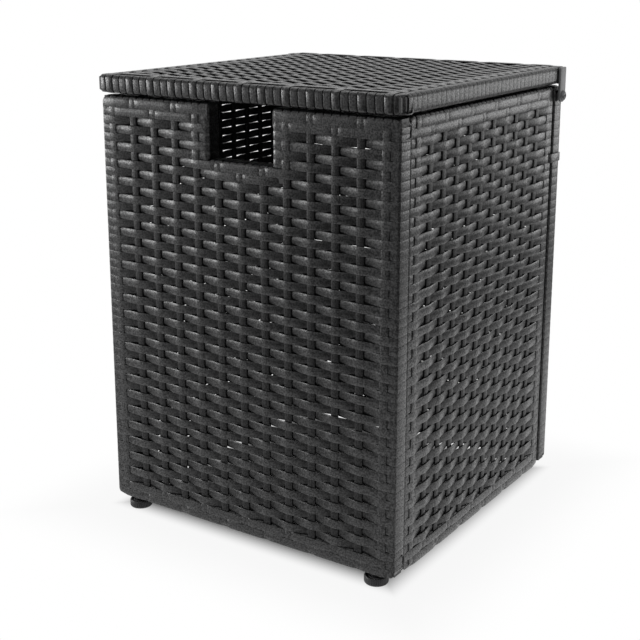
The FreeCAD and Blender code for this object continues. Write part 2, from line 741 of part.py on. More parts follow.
def hinge_insert(sign, side):
    """A threaded six-sided insert in the back panel's tube."""
    name = "hinge_insert_" + side
    inward = along(-sign * X_AXIS)
    place = (signed(sign, "(%s - Sizes.wrap)" % HALF_WIDTH), TUBE_LINE, PIVOT_HEIGHT)
    length = "Sizes.insert_length"
    outside = sided_bar(name + "_outside", 6, "Sizes.insert_flats", length, place, inward)
    bore_flats = "Sizes.hinge_bolt + 2 * Sizes.fit_gap"
    return cut(name, outside, sided_bar(name + "_bore", 8, bore_flats, length, place, inward))


# The corner joints

def corner_joints():
    """Eight bolts through the side panels' uprights into inserts in the front and back panels."""
    bolts = []
    inserts = []
    inner_face = "(%s - %s)" % (SIDE_HALF, RING)
    tip = "(%s - Sizes.joining_reach)" % HALF_WIDTH
    seat = "(%s - %s + Sizes.wrap)" % (HALF_WIDTH, DEPTH)
    head_start = "(%s - Sizes.joining_head_rise)" % inner_face
    grip = "%s - %s" % (tip, inner_face)
    rise = "Sizes.joining_head_rise"
    length = "Sizes.insert_length"
    bore_flats = "Sizes.joining_bolt + 2 * Sizes.fit_gap"
    for end in (-1, 1):
        outward = FreeCAD.Rotation(X_AXIS, -90 * end)
        for side in (-1, 1):
            for number, height in enumerate(JOINING_HEIGHTS):
                tag = "%d_%d_%d" % (end + 1, side + 1, number)
                across = signed(side, TUBE_LINE)
                at_head = (across, signed(end, head_start), height)
                at_face = (across, signed(end, inner_face), height)
                at_seat = (across, signed(end, seat), height)
                shank = sided_bar("shank_" + tag, 8, "Sizes.joining_bolt", grip, at_face, outward)
                head = sided_bar("head_" + tag, 6, "Sizes.joining_head", rise, at_head, outward)
                bolts.append(fuse("bolt_" + tag, [shank, head]))
                outside = sided_bar("seat_" + tag, 6, "Sizes.insert_flats", length, at_seat, outward)
                bore = sided_bar("bore_" + tag, 8, bore_flats, length, at_seat, outward)
                inserts.append(cut("insert_" + tag, outside, bore))
    return [group("corner_bolts", bolts), group("corner_inserts", inserts)]


def corner_tie(sign, side):
    """One flat strip that laces a side panel to the back panel across their seam."""
    body = new_body("corner_tie_" + side)
    sketch = new_sketch(body, "path", "XY_Plane", "Sizes.tie_height - Sizes.tie_width / 2")
    rest = "2 * Sizes.fit_gap"
    thick = "Sizes.tie_thick"
    side_face = "%s - Sizes.weave_rise + %s" % (HALF_WIDTH, rest)
    edge = "%s + %s" % (HALF_WIDTH, rest)
    back_face = side_face
    turn = "%s - Sizes.wrap_ease" % back_face
    corner = "%s - Sizes.wrap_ease" % edge
    start = "%s - Sizes.stake_width" % SIDE_HALF
    seam = "%s - Sizes.seam" % SIDE_HALF
    back_end = "%s - Sizes.stake_width" % HALF_WIDTH
    path = [
        (side_face, start),
        (edge, seam),
        (edge, turn),
        (corner, back_face),
        (back_end, back_face),
        (back_end, "%s + %s" % (back_face, thick)),
        ("%s + %s / 2" % (corner, thick), "%s + %s" % (back_face, thick)),
        ("%s + %s" % (edge, thick), "%s + %s / 2" % (turn, thick)),
        ("%s + %s" % (edge, thick), seam),
        ("%s + %s" % (side_face, thick), start),
    ]
    add_outline(sketch, [("%d * (%s)" % (sign, across), deep) for across, deep in path], "strip")
    add_pad(body, sketch, "Sizes.tie_width")
    return body


# The feet

FOOT_TOP = "(Sizes.ground_gap - Sizes.foot_play)"
END_FOOT_ACROSS = "(%s - Sizes.foot_inset)" % HALF_WIDTH
SIDE_FOOT_ACROSS = "(%s - %s + Sizes.wrap - Sizes.nut_flats / 2)" % (HALF_WIDTH, DEPTH)
FEET = {}
for end, end_name in ((-1, "front"), (1, "back")):
    for side, side_name in SIDES:
        at_end = (signed(side, END_FOOT_ACROSS), signed(end, TUBE_LINE))
        at_side = (signed(side, SIDE_FOOT_ACROSS), signed(end, "Sizes.side_foot_place"))
        FEET["%s_%s" % (end_name, side_name)] = at_end
        FEET["%s_%s" % (side_name, end_name)] = at_side


def foot(name, place):
    """A levelling foot: a knurled skirt, a hub for a spanner and the stud that screws into its nut."""
    body = new_body("foot_" + name)
    rim = "Sizes.foot_size / 2"
    skirt = new_sketch(body, "skirt", "XY_Plane", "0")
    knurl = ring_of_corners("0", "0", [rim, rim + " - Sizes.foot_ridge"], 2 * SIZES["foot_ridges"])
    add_outline(skirt, knurl, "knurl")
    add_pad(body, skirt, "Sizes.foot_skirt")
    hub = new_sketch(body, "hub", "XY_Plane", "Sizes.foot_skirt")
    add_outline(hub, hexagon("0", "0", "Sizes.foot_hub", 0), "hub")
    add_pad(body, hub, "%s - Sizes.foot_skirt" % FOOT_TOP)
    stud = new_sketch(body, "stud", "XY_Plane", FOOT_TOP)
    add_circle(stud, "0", "0", "Sizes.stud / 2", "stud")
    add_pad(body, stud, "Sizes.stud_top - %s" % FOOT_TOP)
    return put(body, (place[0], place[1], "0"), FreeCAD.Rotation())


def foot_nut(name, place):
    """A long six-sided nut, welded into an end panel's tube or onto a side panel's."""
    turn = 90 if name.startswith(("left", "right")) else 0
    start = (place[0], place[1], "Sizes.ground_gap")
    rotation = FreeCAD.Rotation(Z_AXIS, turn)
    outside = sided_bar("nut_outside_" + name, 6, "Sizes.nut_flats", "Sizes.nut_height", start, rotation)
    bore_flats = "Sizes.stud + 2 * Sizes.running"
    bore = sided_bar("nut_bore_" + name, 12, bore_flats, "Sizes.nut_height", start, rotation)
    return cut("nut_" + name, outside, bore)


nodes += [lid_cross_bars(), lid_pads()]
nodes += [hinge_plate(sign, side) for sign, side in SIDES]
nodes.append(group("hinge_bolts", [hinge_bolt(sign, side) for sign, side in SIDES]))
nodes.append(group("hinge_spacers", [hinge_spacer(sign, side) for sign, side in SIDES]))
nodes.append(group("hinge_inserts", [hinge_insert(sign, side) for sign, side in SIDES]))
nodes += corner_joints()
nodes += [corner_tie(sign, side) for sign, side in SIDES]
nodes += [foot(name, place) for name, place in FEET.items()]
nodes.append(group("foot_nuts", [foot_nut(name, place) for name, place in FEET.items()]))
doc.recompute()

# Every object has to have been made, and every piece has to be sound, before anything is written

for thing in doc.Objects:
    if "Invalid" in thing.State or "Error" in thing.State:
        raise RuntimeError("%s was not made: %s" % (thing.Name, thing.State))
for node in nodes:
    if node.Shape.isNull() or not node.Shape.isValid() or not node.Shape.Solids:
        raise RuntimeError("%s is not a sound solid" % node.Label)

for node in nodes:
    node.Shape.exportStep("parts/%s.step" % node.Label)
    limits = node.Shape.BoundBox
    print("%-24s %2d solids %9.0f mm3" % (node.Label, len(node.Shape.Solids), node.Shape.Volume), limits)
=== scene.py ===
import bmesh
import bpy
import json
import math
import random

from mathutils import Matrix, Vector, noise

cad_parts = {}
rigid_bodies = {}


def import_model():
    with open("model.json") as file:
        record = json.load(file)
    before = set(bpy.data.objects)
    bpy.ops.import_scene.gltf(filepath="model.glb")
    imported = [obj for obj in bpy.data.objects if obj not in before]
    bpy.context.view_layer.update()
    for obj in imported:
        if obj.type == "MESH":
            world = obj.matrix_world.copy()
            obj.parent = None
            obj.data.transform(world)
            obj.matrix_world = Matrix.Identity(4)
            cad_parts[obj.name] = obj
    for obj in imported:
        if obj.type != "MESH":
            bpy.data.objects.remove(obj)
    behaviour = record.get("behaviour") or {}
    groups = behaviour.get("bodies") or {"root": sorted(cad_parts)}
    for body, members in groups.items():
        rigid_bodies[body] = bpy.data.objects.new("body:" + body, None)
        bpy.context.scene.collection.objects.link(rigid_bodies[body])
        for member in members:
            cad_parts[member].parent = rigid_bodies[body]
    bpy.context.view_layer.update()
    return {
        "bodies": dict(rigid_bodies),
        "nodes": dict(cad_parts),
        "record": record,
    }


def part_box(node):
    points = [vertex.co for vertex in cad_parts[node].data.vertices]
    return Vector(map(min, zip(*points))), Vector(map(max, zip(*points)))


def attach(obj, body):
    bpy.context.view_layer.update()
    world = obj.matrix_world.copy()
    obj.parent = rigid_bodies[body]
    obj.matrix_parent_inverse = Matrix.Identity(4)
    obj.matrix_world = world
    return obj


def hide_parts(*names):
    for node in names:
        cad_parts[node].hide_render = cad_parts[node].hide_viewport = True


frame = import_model()

bl_info = {
    "name": "Tank Cover Table",
    "version": (1, 0, 0),
    "blender": (4, 5, 0),
    "location": "3D View > Sidebar > Cover Table",
    "description": "Adds the woven walls, lid, feet and fittings of a side table that hides a gas bottle",
    "category": "Object",
}

MM = 0.001
HAIR = 0.1 * MM  # keeps two points apart that would meet
STRIP = "strip"  # attribute of every strip: metres along it, -1 to 1 across it, its own number
HOLLOW = "hollow"  # attribute of every strip: the depth in the weave, in metres, that sets its painted shade
SEED = 5
UP, RIGHT = Vector((0.0, 0.0, 1.0)), Vector((1.0, 0.0, 0.0))


def length(name, description, default):
    """A size in metres."""
    return bpy.props.FloatProperty(
        name=name, description=description, default=default, min=0.0, unit="LENGTH", subtype="DISTANCE",
        precision=5,
    )


def number(name, description, default):
    """A plain number."""
    return bpy.props.FloatProperty(name=name, description=description, default=default, precision=4)


def angle(name, description, degrees):
    """An angle, given in degrees."""
    return bpy.props.FloatProperty(
        name=name, description=description, default=math.radians(degrees), unit="ROTATION", subtype="ANGLE"
    )


def colour(name, description, default):
    """A colour, red, green and blue from 0 to 1."""
    return bpy.props.FloatVectorProperty(
        name=name, description=description, default=default, min=0.0, max=1.0, subtype="COLOR"
    )


class WeavingSizes(bpy.types.PropertyGroup):
    """Sizes of the flat strips and how they are laid."""

    body_width: length("Body width", "Outside the front and back panels", 400 * MM)
    side_width: length("Side width", "Side panels, between the front and back panels", 354.4 * MM)
    side_face: length("Side face", "Middle of the body to the face of a side panel", 200 * MM)
    low: length("Bottom edge", "Floor to the panels", 15 * MM)
    high: length("Top edge", "Floor to the top of the panels", 512 * MM)
    lid_width: length("Lid width", "The lid, square", 404 * MM)
    lid_top: length("Lid top", "Floor to the crest of the lid's weave", 536.8 * MM)
    notch_width: length("Notch width", "Hose notch, between its wrapped sides", 86 * MM)
    notch_lip: length("Notch lip", "Floor to the wrapped lip under the notch", 450 * MM)
    corner: length("Corner", "Rounding of a panel's corners", 8 * MM)
    wrapped_tube: length("Wrapped tube", "A tube with its strip", 20.4 * MM)
    depth: length("Depth", "Crest of the weave to the back of a panel", 22 * MM)
    row_width: length("Row width", "The strips that run across", 9.9 * MM)
    row_pitch: length("Row pitch", "From one row to the next", 10.1 * MM)
    top_row_width: length("Top row width", "The row along the top edge of a wall", 10.4 * MM)
    top_row: length("Top row", "Top edge of a wall to the middle of its first row", 8.0 * MM)
    lid_row: length("Lid row", "Lid's front or rear edge to its nearest row", 15.0 * MM)
    next_row: length("Next row", "Top edge of a wall to the middle of its second row", 18.1 * MM)
    upright_width: length("Upright width", "The strips that run up", 9.5 * MM)
    upright_inset: length("Upright inset", "Edge of a panel to its first upright", 16 * MM)
    thickness: length("Strip thickness", "One flat strip", 1.2 * MM)
    arch: length("Strip arch", "How far a strip's middle stands above its edges", 0.46 * MM)
    post_arch: length("Post arch", "The same where a strip lies on a post", 0.16 * MM)
    squeeze: number("Squeeze", "Share of width a wall's row loses under an upright, half of a lid row's", 0.1)
    curl: length("Curl", "How much more it is arched there", 0.35 * MM)
    post_bend: length("Post bend", "How far from a panel's side edge a row begins to turn round it", 1.3 * MM)
    rail_bend: length("Rail bend", "The same for the strips round a wall's rails", 3.7 * MM)
    roll: length("Roll", "The same for the lid's edges and the hose notch's sides", 3.9 * MM)
    wrap_gap: length("Wrap gap", "Joint between two strips round an edge", 1.3 * MM)
    wrap_arch: length("Wrap arch", "Rise of the middle of a strip round an edge over its sides", 0.14 * MM)
    slant: length("Slant", "How far a strip moves sideways as it crosses an edge's top", 2.4 * MM)
    wobble: length("Wobble", "How far a hand-laid row strays", 0.2 * MM)


class FittingSizes(bpy.types.PropertyGroup):
    """Sizes of the feet, hinge plates, bolts and ties."""

    foot_size: length("Foot size", "Across the knurled rim", 27.5 * MM)
    foot_height: length("Foot height", "Floor to the top of the rim", 9.6 * MM)
    knurl: length("Knurl depth", "Depth of the grooves round a foot", 0.55 * MM)
    hub_width: length("Hub width", "Across the flats of the foot's hub", 14 * MM)
    hub_top: length("Hub top", "Floor to the top of the hub", 14.7 * MM)
    stud: length("Stud", "Outside the foot's thread", 8 * MM)
    stud_top: length("Stud top", "Floor to the end of the thread", 32.5 * MM)
    thread_pitch: length("Thread pitch", "One turn of the foot's thread", 1.25 * MM)
    plate_width: length("Plate width", "Flat bar of the hinge plates", 16 * MM)
    plate_thickness: length("Plate thickness", "Flat bar of the hinge plates", 3 * MM)
    head_width: length("Head width", "Dome head of a hinge bolt", 12.5 * MM)
    head_height: length("Head height", "Dome head of a hinge bolt", 3.2 * MM)
    socket_width: length("Socket width", "Across the flats of the bolt's socket", 4 * MM)
    tie_width: length("Tie width", "Strip laced round a rear corner", 10.5 * MM)


class Finishes(bpy.types.PropertyGroup):
    """Colours of the materials."""

    # strip_dark is also the colour of the painted shade in the hollows of the weave.
    strip_dark: colour("Strip, dark", "Hollows and dark grain of the strips", (0.003, 0.003, 0.0033))
    # strip_light is also the colour of the painted highlight along the ridges.
    strip_light: colour("Strip, light", "Ridges and light grain of the strips", (0.021, 0.021, 0.022))
    black_steel: colour("Black steel", "Powder coat of the tube frames", (0.020, 0.020, 0.021))
    grey_steel: colour("Grey steel", "Satin coat of the hinge plates", (0.40, 0.405, 0.41))
    zinc_steel: colour("Zinc steel", "Bolts, nuts and spacers", (0.13, 0.132, 0.135))
    foot_plastic: colour("Foot plastic", "Moulded feet", (0.022, 0.022, 0.024))
    rubber: colour("Rubber", "Pads under the lid", (0.025, 0.025, 0.025))
    floor: colour("Floor", "Pale floor", (0.90, 0.90, 0.90))


class StudioSettings(bpy.types.PropertyGroup):
    """Camera and lights."""

    camera_x: length("Camera X", "Right of the middle of the table", 785.9 * MM)
    camera_front: length("Camera distance", "In front of the middle of the table", 1210.9 * MM)
    camera_height: length("Camera height", "Above the floor", 661.4 * MM)
    turn: angle("Turn", "Camera turned to its left", 33.947)
    tilt: angle("Tilt", "Camera tilted down", 13.83)
    lens: number("Lens", "Focal length in millimetres", 67.37)
    frame_shift: number("Frame shift", "Lens shift, in frame heights", -0.1)
    left_power: number("Left light", "Watts", 94.0)
    right_power: number("Right light", "Watts", 5.5)
    top_power: number("Top light", "Watts", 9.0)
    sky: number("Sky", "Strength of the even light all round", 0.12)


def sizes(kind):
    """One of the add-on's groups of sizes, colours or settings."""
    return getattr(bpy.context.scene, "cover_" + kind)


# Shading


class Shade:
    """A socket of a material's nodes that can be reckoned with like a number."""

    def __init__(self, tree, socket):
        self.tree = tree
        self.socket = socket

    def feed(self, target):
        """Leads the value to another node's socket."""
        self.tree.links.new(self.socket, target)

    def reckon(self, operation, *values):
        """One step of arithmetic on the values."""
        made = self.tree.nodes.new("ShaderNodeMath")
        made.operation = operation
        for socket, value in zip(made.inputs, values):
            fill(socket, value)
        return Shade(self.tree, made.outputs[0])

    def __add__(self, other):
        return self.reckon("ADD", self, other)

    __radd__ = __add__

    def __mul__(self, other):
        return self.reckon("MULTIPLY", self, other)

    __rmul__ = __mul__

    def __sub__(self, other):
        return self.reckon("SUBTRACT", self, other)

    def __rsub__(self, other):
        return self.reckon("SUBTRACT", other, self)

    def cosine(self):
        return self.reckon("COSINE", self)

    def size(self):
        return self.reckon("ABSOLUTE", self)

    def larger(self, other):
        return self.reckon("MAXIMUM", self, other)

    def between(self, low, high):
        """0 up to low, 1 from high on, smooth between them."""
        settings = {"interpolation_type": "SMOOTHSTEP"}
        return add_node(self.tree, "MapRange", settings, 0, Value=self, From_Min=low, From_Max=high)


def fill(socket, value):
    """Leads a Shade to a socket, or sets the socket's own value."""
    if isinstance(value, Shade):
        value.feed(socket)
    else:
        socket.default_value = value


def add_node(tree, kind, settings=None, output=0, numbered=None, **inputs):
    """A node with its settings and inputs, as the Shade of one of its outputs.

    Inputs have _ for a space in their names; numbered ones go by their place in the node."""
    made = tree.nodes.new("ShaderNode" + kind)
    for name, value in (settings or {}).items():
        setattr(made, name, value)
    for name, value in inputs.items():
        fill(made.inputs[name.replace("_", " ")], value)
    for index, value in (numbered or {}).items():
        fill(made.inputs[index], value)
    return Shade(tree, made.outputs[output])


def new_material(name):
    """A material with an empty node tree and its output."""
    material = bpy.data.materials.new(name)
    material.use_nodes = True
    material.node_tree.nodes.clear()
    output = material.node_tree.nodes.new("ShaderNodeOutputMaterial")
    return material, material.node_tree, output.inputs["Surface"]


def mix_colours(tree, share, first, second):
    """From the first colour at 0 to the second at 1."""
    colours = {6: (*first, 1.0), 7: (*second, 1.0)}
    return add_node(tree, "Mix", {"data_type": "RGBA"}, 2, colours, Factor=share)


def object_point(tree):
    """Place on the piece, in metres."""
    return add_node(tree, "TexCoord", None, "Object")


def split(tree, place):
    """The three parts of a place."""
    first = add_node(tree, "SeparateXYZ", None, 0, {0: place})
    return [Shade(tree, part) for part in first.socket.node.outputs]


def grain(tree, place, scale, detail, roughness=0.5):
    """Noise from 0 to 1 with about that many grains in a metre."""
    return add_node(
        tree, "TexNoise", None, "Fac", Vector=place, Scale=scale, Detail=detail, Roughness=roughness
    )


def relief(tree, height, strength, depth):
    """A bump of that depth in metres."""
    return add_node(tree, "Bump", Height=height, Strength=strength, Distance=depth)


RIDGES = 3.0  # along every strip
STREAKS = 55.0  # along a metre of strip, before the noise's own scale
MOTTLES = 520.0  # in a metre
IN_LIGHT, IN_SHADE = 1.2 * MM, 4.2 * MM  # depth where a strip's painted shade begins, and where it is darkest
PAINTED_SHADE = 0.6  # share of its lightness and polish that the painted shade takes away there


def strip_material(finishes):
    """Satin moulded strip: three ridges along it, streaked and mottled like leather, with painted shade
    deeper in the weave and a painted highlight on its ridges.
    """
    material, tree, surface = new_material("woven_strip")
    place = add_node(tree, "Attribute", {"attribute_name": STRIP}, "Vector")
    along, across, own = split(tree, place)

    ridge = (across * (RIDGES * math.pi)).cosine() * 0.5 + 0.5
    streak_place = add_node(tree, "CombineXYZ", X=along * STREAKS + own * 7.3, Y=across * 1.7, Z=own * 31.0)
    streak = grain(tree, streak_place, 2.2, 4.0)
    mottle = grain(tree, object_point(tree), MOTTLES, 2.0, 0.55)
    own_tone = add_node(tree, "TexWhiteNoise", {"noise_dimensions": "1D"}, "Value", W=own)
    speckle = mottle.between(0.36, 0.64)
    # Painted shade: colour and coat darken with the strip's depth in the weave, standing in for the shade in
    # the hollows.
    hollow = add_node(tree, "Attribute", {"attribute_name": HOLLOW}, "Fac")
    left_by_painted_shade = 1.0 - hollow.between(IN_LIGHT, IN_SHADE) * PAINTED_SHADE
    # ridge lightens the colour along the ridge tops: a painted highlight.
    tone = streak.between(0.3, 0.75) * 0.18 + speckle * 0.5 + own_tone * 0.24 + ridge * 0.08
    base = mix_colours(tree, tone * left_by_painted_shade, finishes.strip_dark, finishes.strip_light)
    bump = relief(tree, ridge * 0.3 + streak * 0.25 + mottle * 1.1, 0.9, 0.28 * MM)
    gloss = 0.24 + mottle * 0.24 + streak * 0.06
    # The coat is thinned by the painted shade as well, so its reflections dim in the hollows.
    polish = (0.28 + speckle * 0.9 + streak * 0.23) * left_by_painted_shade
    skin = add_node(
        tree, "BsdfPrincipled", Base_Color=base, Roughness=gloss, Normal=bump,
        Coat_Weight=polish, Coat_Roughness=0.28, Specular_IOR_Level=0.08,
    )
    skin.feed(surface)
    return material


def coat_material(name, tint, roughness, metallic=0.0, grains=500.0, depth=0.03 * MM, stretch=1.0):
    """A coat of one colour with fine grain in its tone, gloss and surface.

    Stretch draws the grain out upwards."""
    material, tree, surface = new_material(name)
    place = object_point(tree)
    drawn_out = {1: (1.0, 1.0, 1.0 / stretch)}
    drawn = add_node(tree, "VectorMath", {"operation": "MULTIPLY"}, 0, drawn_out, Vector=place)
    speckle = grain(tree, drawn, grains, 3.0)
    cloud = grain(tree, place, grains / 14.0, 2.0)
    tone = speckle * 0.5 + cloud * 0.5
    darker = [channel * 0.78 for channel in tint]
    lighter = [min(1.0, channel * 1.2) for channel in tint]
    base = mix_colours(tree, tone, darker, lighter)
    bump = relief(tree, speckle, 0.6, depth)
    gloss = (roughness - 0.07) + cloud * 0.14
    skin = add_node(tree, "BsdfPrincipled", Base_Color=base, Roughness=gloss, Normal=bump, Metallic=metallic)
    skin.feed(surface)
    return material


def sight(tree):
    """1 for a ray that sees the surroundings, straight on or through glass, and 1 for a mirrored one."""
    path = add_node(tree, "LightPath").socket.node
    straight, mirrored, through = (
        Shade(tree, path.outputs["Is %s Ray" % kind]) for kind in ("Camera", "Glossy", "Transmission")
    )
    return straight.larger(through), mirrored


# The floor whitens in two steps, each from and to a distance from the table's middle, in metres
FIRST_STEP, SECOND_STEP = (0.165, 0.21), (0.21, 0.34)
PALED = 0.92  # share of the whitening in the first step
MIRRORED_FLOOR = (0.6, 1.1)  # where a mirrored floor goes back to its own tone
SWEEP_STARTS, SWEEP_ENDS = (0.35, 0.7), (1.8, 2.6)  # where it is white again on the left


def floor_material(finishes):
    """A pale floor that fades into the white around it."""
    material, tree, surface = new_material("floor")
    across, deep = split(tree, object_point(tree))[:2]
    away = across.size().larger(deep.size())
    seen, mirrored = sight(tree)
    share = away.between(*FIRST_STEP) * PALED + away.between(*SECOND_STEP) * (1.0 - PALED)
    sweep = (across * -1.0).between(*SWEEP_STARTS) * (1.0 - away.between(*SWEEP_ENDS))
    share = share * seen.larger(mirrored * sweep.larger(1.0 - away.between(*MIRRORED_FLOOR)))
    paper = add_node(tree, "BsdfPrincipled", Base_Color=(*finishes.floor, 1.0), Roughness=0.9)
    white = add_node(tree, "Emission", Strength=1.0)
    add_node(tree, "MixShader", None, 0, {0: share, 1: paper, 2: white}).feed(surface)
    return material


COATS = {
    "black_steel": {"roughness": 0.45, "depth": 0.04 * MM},
    "grey_steel": {"roughness": 0.42, "depth": 0.02 * MM},
    "zinc_steel": {"roughness": 0.34, "metallic": 0.9, "grains": 900.0, "stretch": 6.0},
    "foot_plastic": {"roughness": 0.42},
    "rubber": {"roughness": 0.85, "depth": 0.05 * MM},
}


def finish_of(slot):
    """The material of one of the record's slots, made when first asked for."""
    finishes = sizes("finishes")
    found = bpy.data.materials.get("finish_" + slot)
    if found:
        return found
    if slot == "woven_strip":
        made = strip_material(finishes)
    else:
        made = coat_material(slot, getattr(finishes, slot), **COATS[slot])
    made.name = "finish_" + slot
    return made


# Pieces

CREASE = math.radians(38)  # an edge bent more than this stays sharp
SECTION_STEPS = 4  # faces across a strip
SECTION_CROWD = 0.32  # draws the lines between them towards the strip's sides
SECTION_FLAT = 6  # how flat a strip's middle is, and how steep its sides


def add_piece(name, mesh, body, slot, nodes):
    """Makes a finished mesh a piece that moves with a body and stands for nodes of the record."""
    if not mesh.faces:
        raise RuntimeError(name + " has no faces")
    data = bpy.data.meshes.new(name)
    for face in mesh.faces:
        face.smooth = True
    for edge in mesh.edges:
        if len(edge.link_faces) == 2:
            edge.smooth = edge.calc_face_angle() < CREASE
    mesh.to_mesh(data)
    mesh.free()
    piece = bpy.data.objects.new(name, data)
    bpy.context.scene.collection.objects.link(piece)
    data.materials.append(finish_of(slot))
    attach(piece, body)
    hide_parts(*nodes)


def smooth(share):
    """Runs from 0 to 1 and is level at both ends."""
    share = min(max(share, 0.0), 1.0)
    return share * share * (3.0 - 2.0 * share)


def rounded(corners, reach, steps=3):
    """The corners' line with each inner corner turned into a bend that begins that far before it."""
    line = [Vector(corners[0])]
    for before, corner, after in zip(corners, corners[1:], corners[2:]):
        corner = Vector(corner)
        enter = corner + (Vector(before) - corner).normalized() * reach
        leave = corner + (Vector(after) - corner).normalized() * reach
        for step in range(steps + 1):
            share = step / steps
            line.append(enter.lerp(corner, share).lerp(corner.lerp(leave, share), share))
    line.append(Vector(corners[-1]))
    return line


def lay_strip(mesh, line, across, width, arch, own, hollow=0.0, place=None):
    """The outer face of a flat strip along a line of its middle points, turned to where line and across lead.

    width, arch and hollow are numbers or lists with one for each point; hollow is the depth that sets the
    painted shade, and place moves each finished point."""
    skin = sizes("weaving").thickness / 2.0
    tags = mesh.verts.layers.float_vector[STRIP]
    depths = mesh.verts.layers.float[HOLLOW]
    count = len(line)
    widths, arches, hollows = (
        value if isinstance(value, list) else [value] * count for value in (width, arch, hollow)
    )
    run = [0.0]
    for first, second in zip(line, line[1:]):
        run.append(run[-1] + (second - first).length)
    outward = []
    for index in range(count):
        before = line[max(index - 1, 0)]
        after = line[min(index + 1, count - 1)]
        outward.append((after - before).cross(across).normalized())
    grid = bmesh.ops.create_grid(mesh, x_segments=count - 1, y_segments=SECTION_STEPS, size=1.0)["verts"]
    for vert in grid:
        index = round((vert.co.x + 1.0) / 2.0 * (count - 1))
        side = math.copysign(abs(vert.co.y) ** SECTION_CROWD, vert.co.y)
        vert[tags] = (run[index], side, own)
        vert[depths] = hollows[index]
        rise = skin + arches[index] * (1.0 - abs(side) ** SECTION_FLAT)
        vert.co = line[index] + across * (side * widths[index] / 2.0) + outward[index] * rise
        if place:
            vert.co = place(vert.co)


def thicken(mesh):
    """Gives all laid strips their thickness, inwards."""
    mesh.normal_update()
    bmesh.ops.solidify(mesh, geom=mesh.faces[:], thickness=sizes("weaving").thickness)


def new_strips():
    """An empty mesh that carries the strips' attributes."""
    mesh = bmesh.new()
    mesh.verts.layers.float_vector.new(STRIP)
    mesh.verts.layers.float.new(HOLLOW)
    return mesh


# Weaving, with depths measured in from the crest of the weave

WIDE_UPRIGHTS, SIDE_UPRIGHTS = 13, 12  # on the front, the back and the lid, and on each side panel
EDGE_DEPTH = 2.2 * MM  # front of the strips wound round an edge
# Row and upright where they cross, first with the row over and then with the row under
ON_TUBE = ((1.1 * MM, 2.1 * MM), (2.5 * MM, 1.2 * MM))
IN_OPEN = ((0.95 * MM, 3.0 * MM), (4.7 * MM, 2.9 * MM))
TUCK = 8.5 * MM  # where a row ends behind its post

ROW_STEPS = (0.0, 0.15, 0.3, 0.5, 0.7, 0.85)  # a row's points between two uprights, as shares of the way
TUBE_CLIMB = 0.24  # share of the way in which a row rises on a tube
OPEN_REST = 0.13  # share of the way that a row stays down between tubes
TUBE_SQUEEZE = 0.3  # share of the squeeze that is left on a tube
SQUEEZED = 3.5 * MM  # how far from an upright's middle a row is squeezed fully
RELEASE = 8.0 * MM  # and over how much more it widens again
FAR = 1.0  # where no squeeze is left

SIDE_BEND = 1.8  # how much wider the side panels' rows turn than the front's
TURN_ROOM = 2.0 * MM  # straight end of a row before its turn
NOTCH_SHARE = 0.975  # width of a row's end at the hose notch, of its own width
LOW_BEND = 0.8  # bend of the uprights round the bottom edge, of the rails' bend
TUBE_LEVEL, OPEN_LEVEL = 0.18, 0.34  # share of the way to the next row that an upright keeps its depth
FACE_SLANT, BACK_SLANT = 0.4, 0.2  # share of the slant that a strip makes on a rail's face and on its back

END_GAP = 0.4 * MM  # end of a rail to its first strip
LEAST_WRAP = 3.0 * MM  # no strip is laid in less room
WALL_EDGE, LID_EDGE = 1.6 * MM, 2.4 * MM  # depth whose painted shade the strips on an edge get
TUBE_MARGIN = 0.6 * MM  # a crossing this near a wrapped tube counts as lying on it
LAST_ROW = 4.0 * MM  # least height of a wall's lowest row above its bottom edge


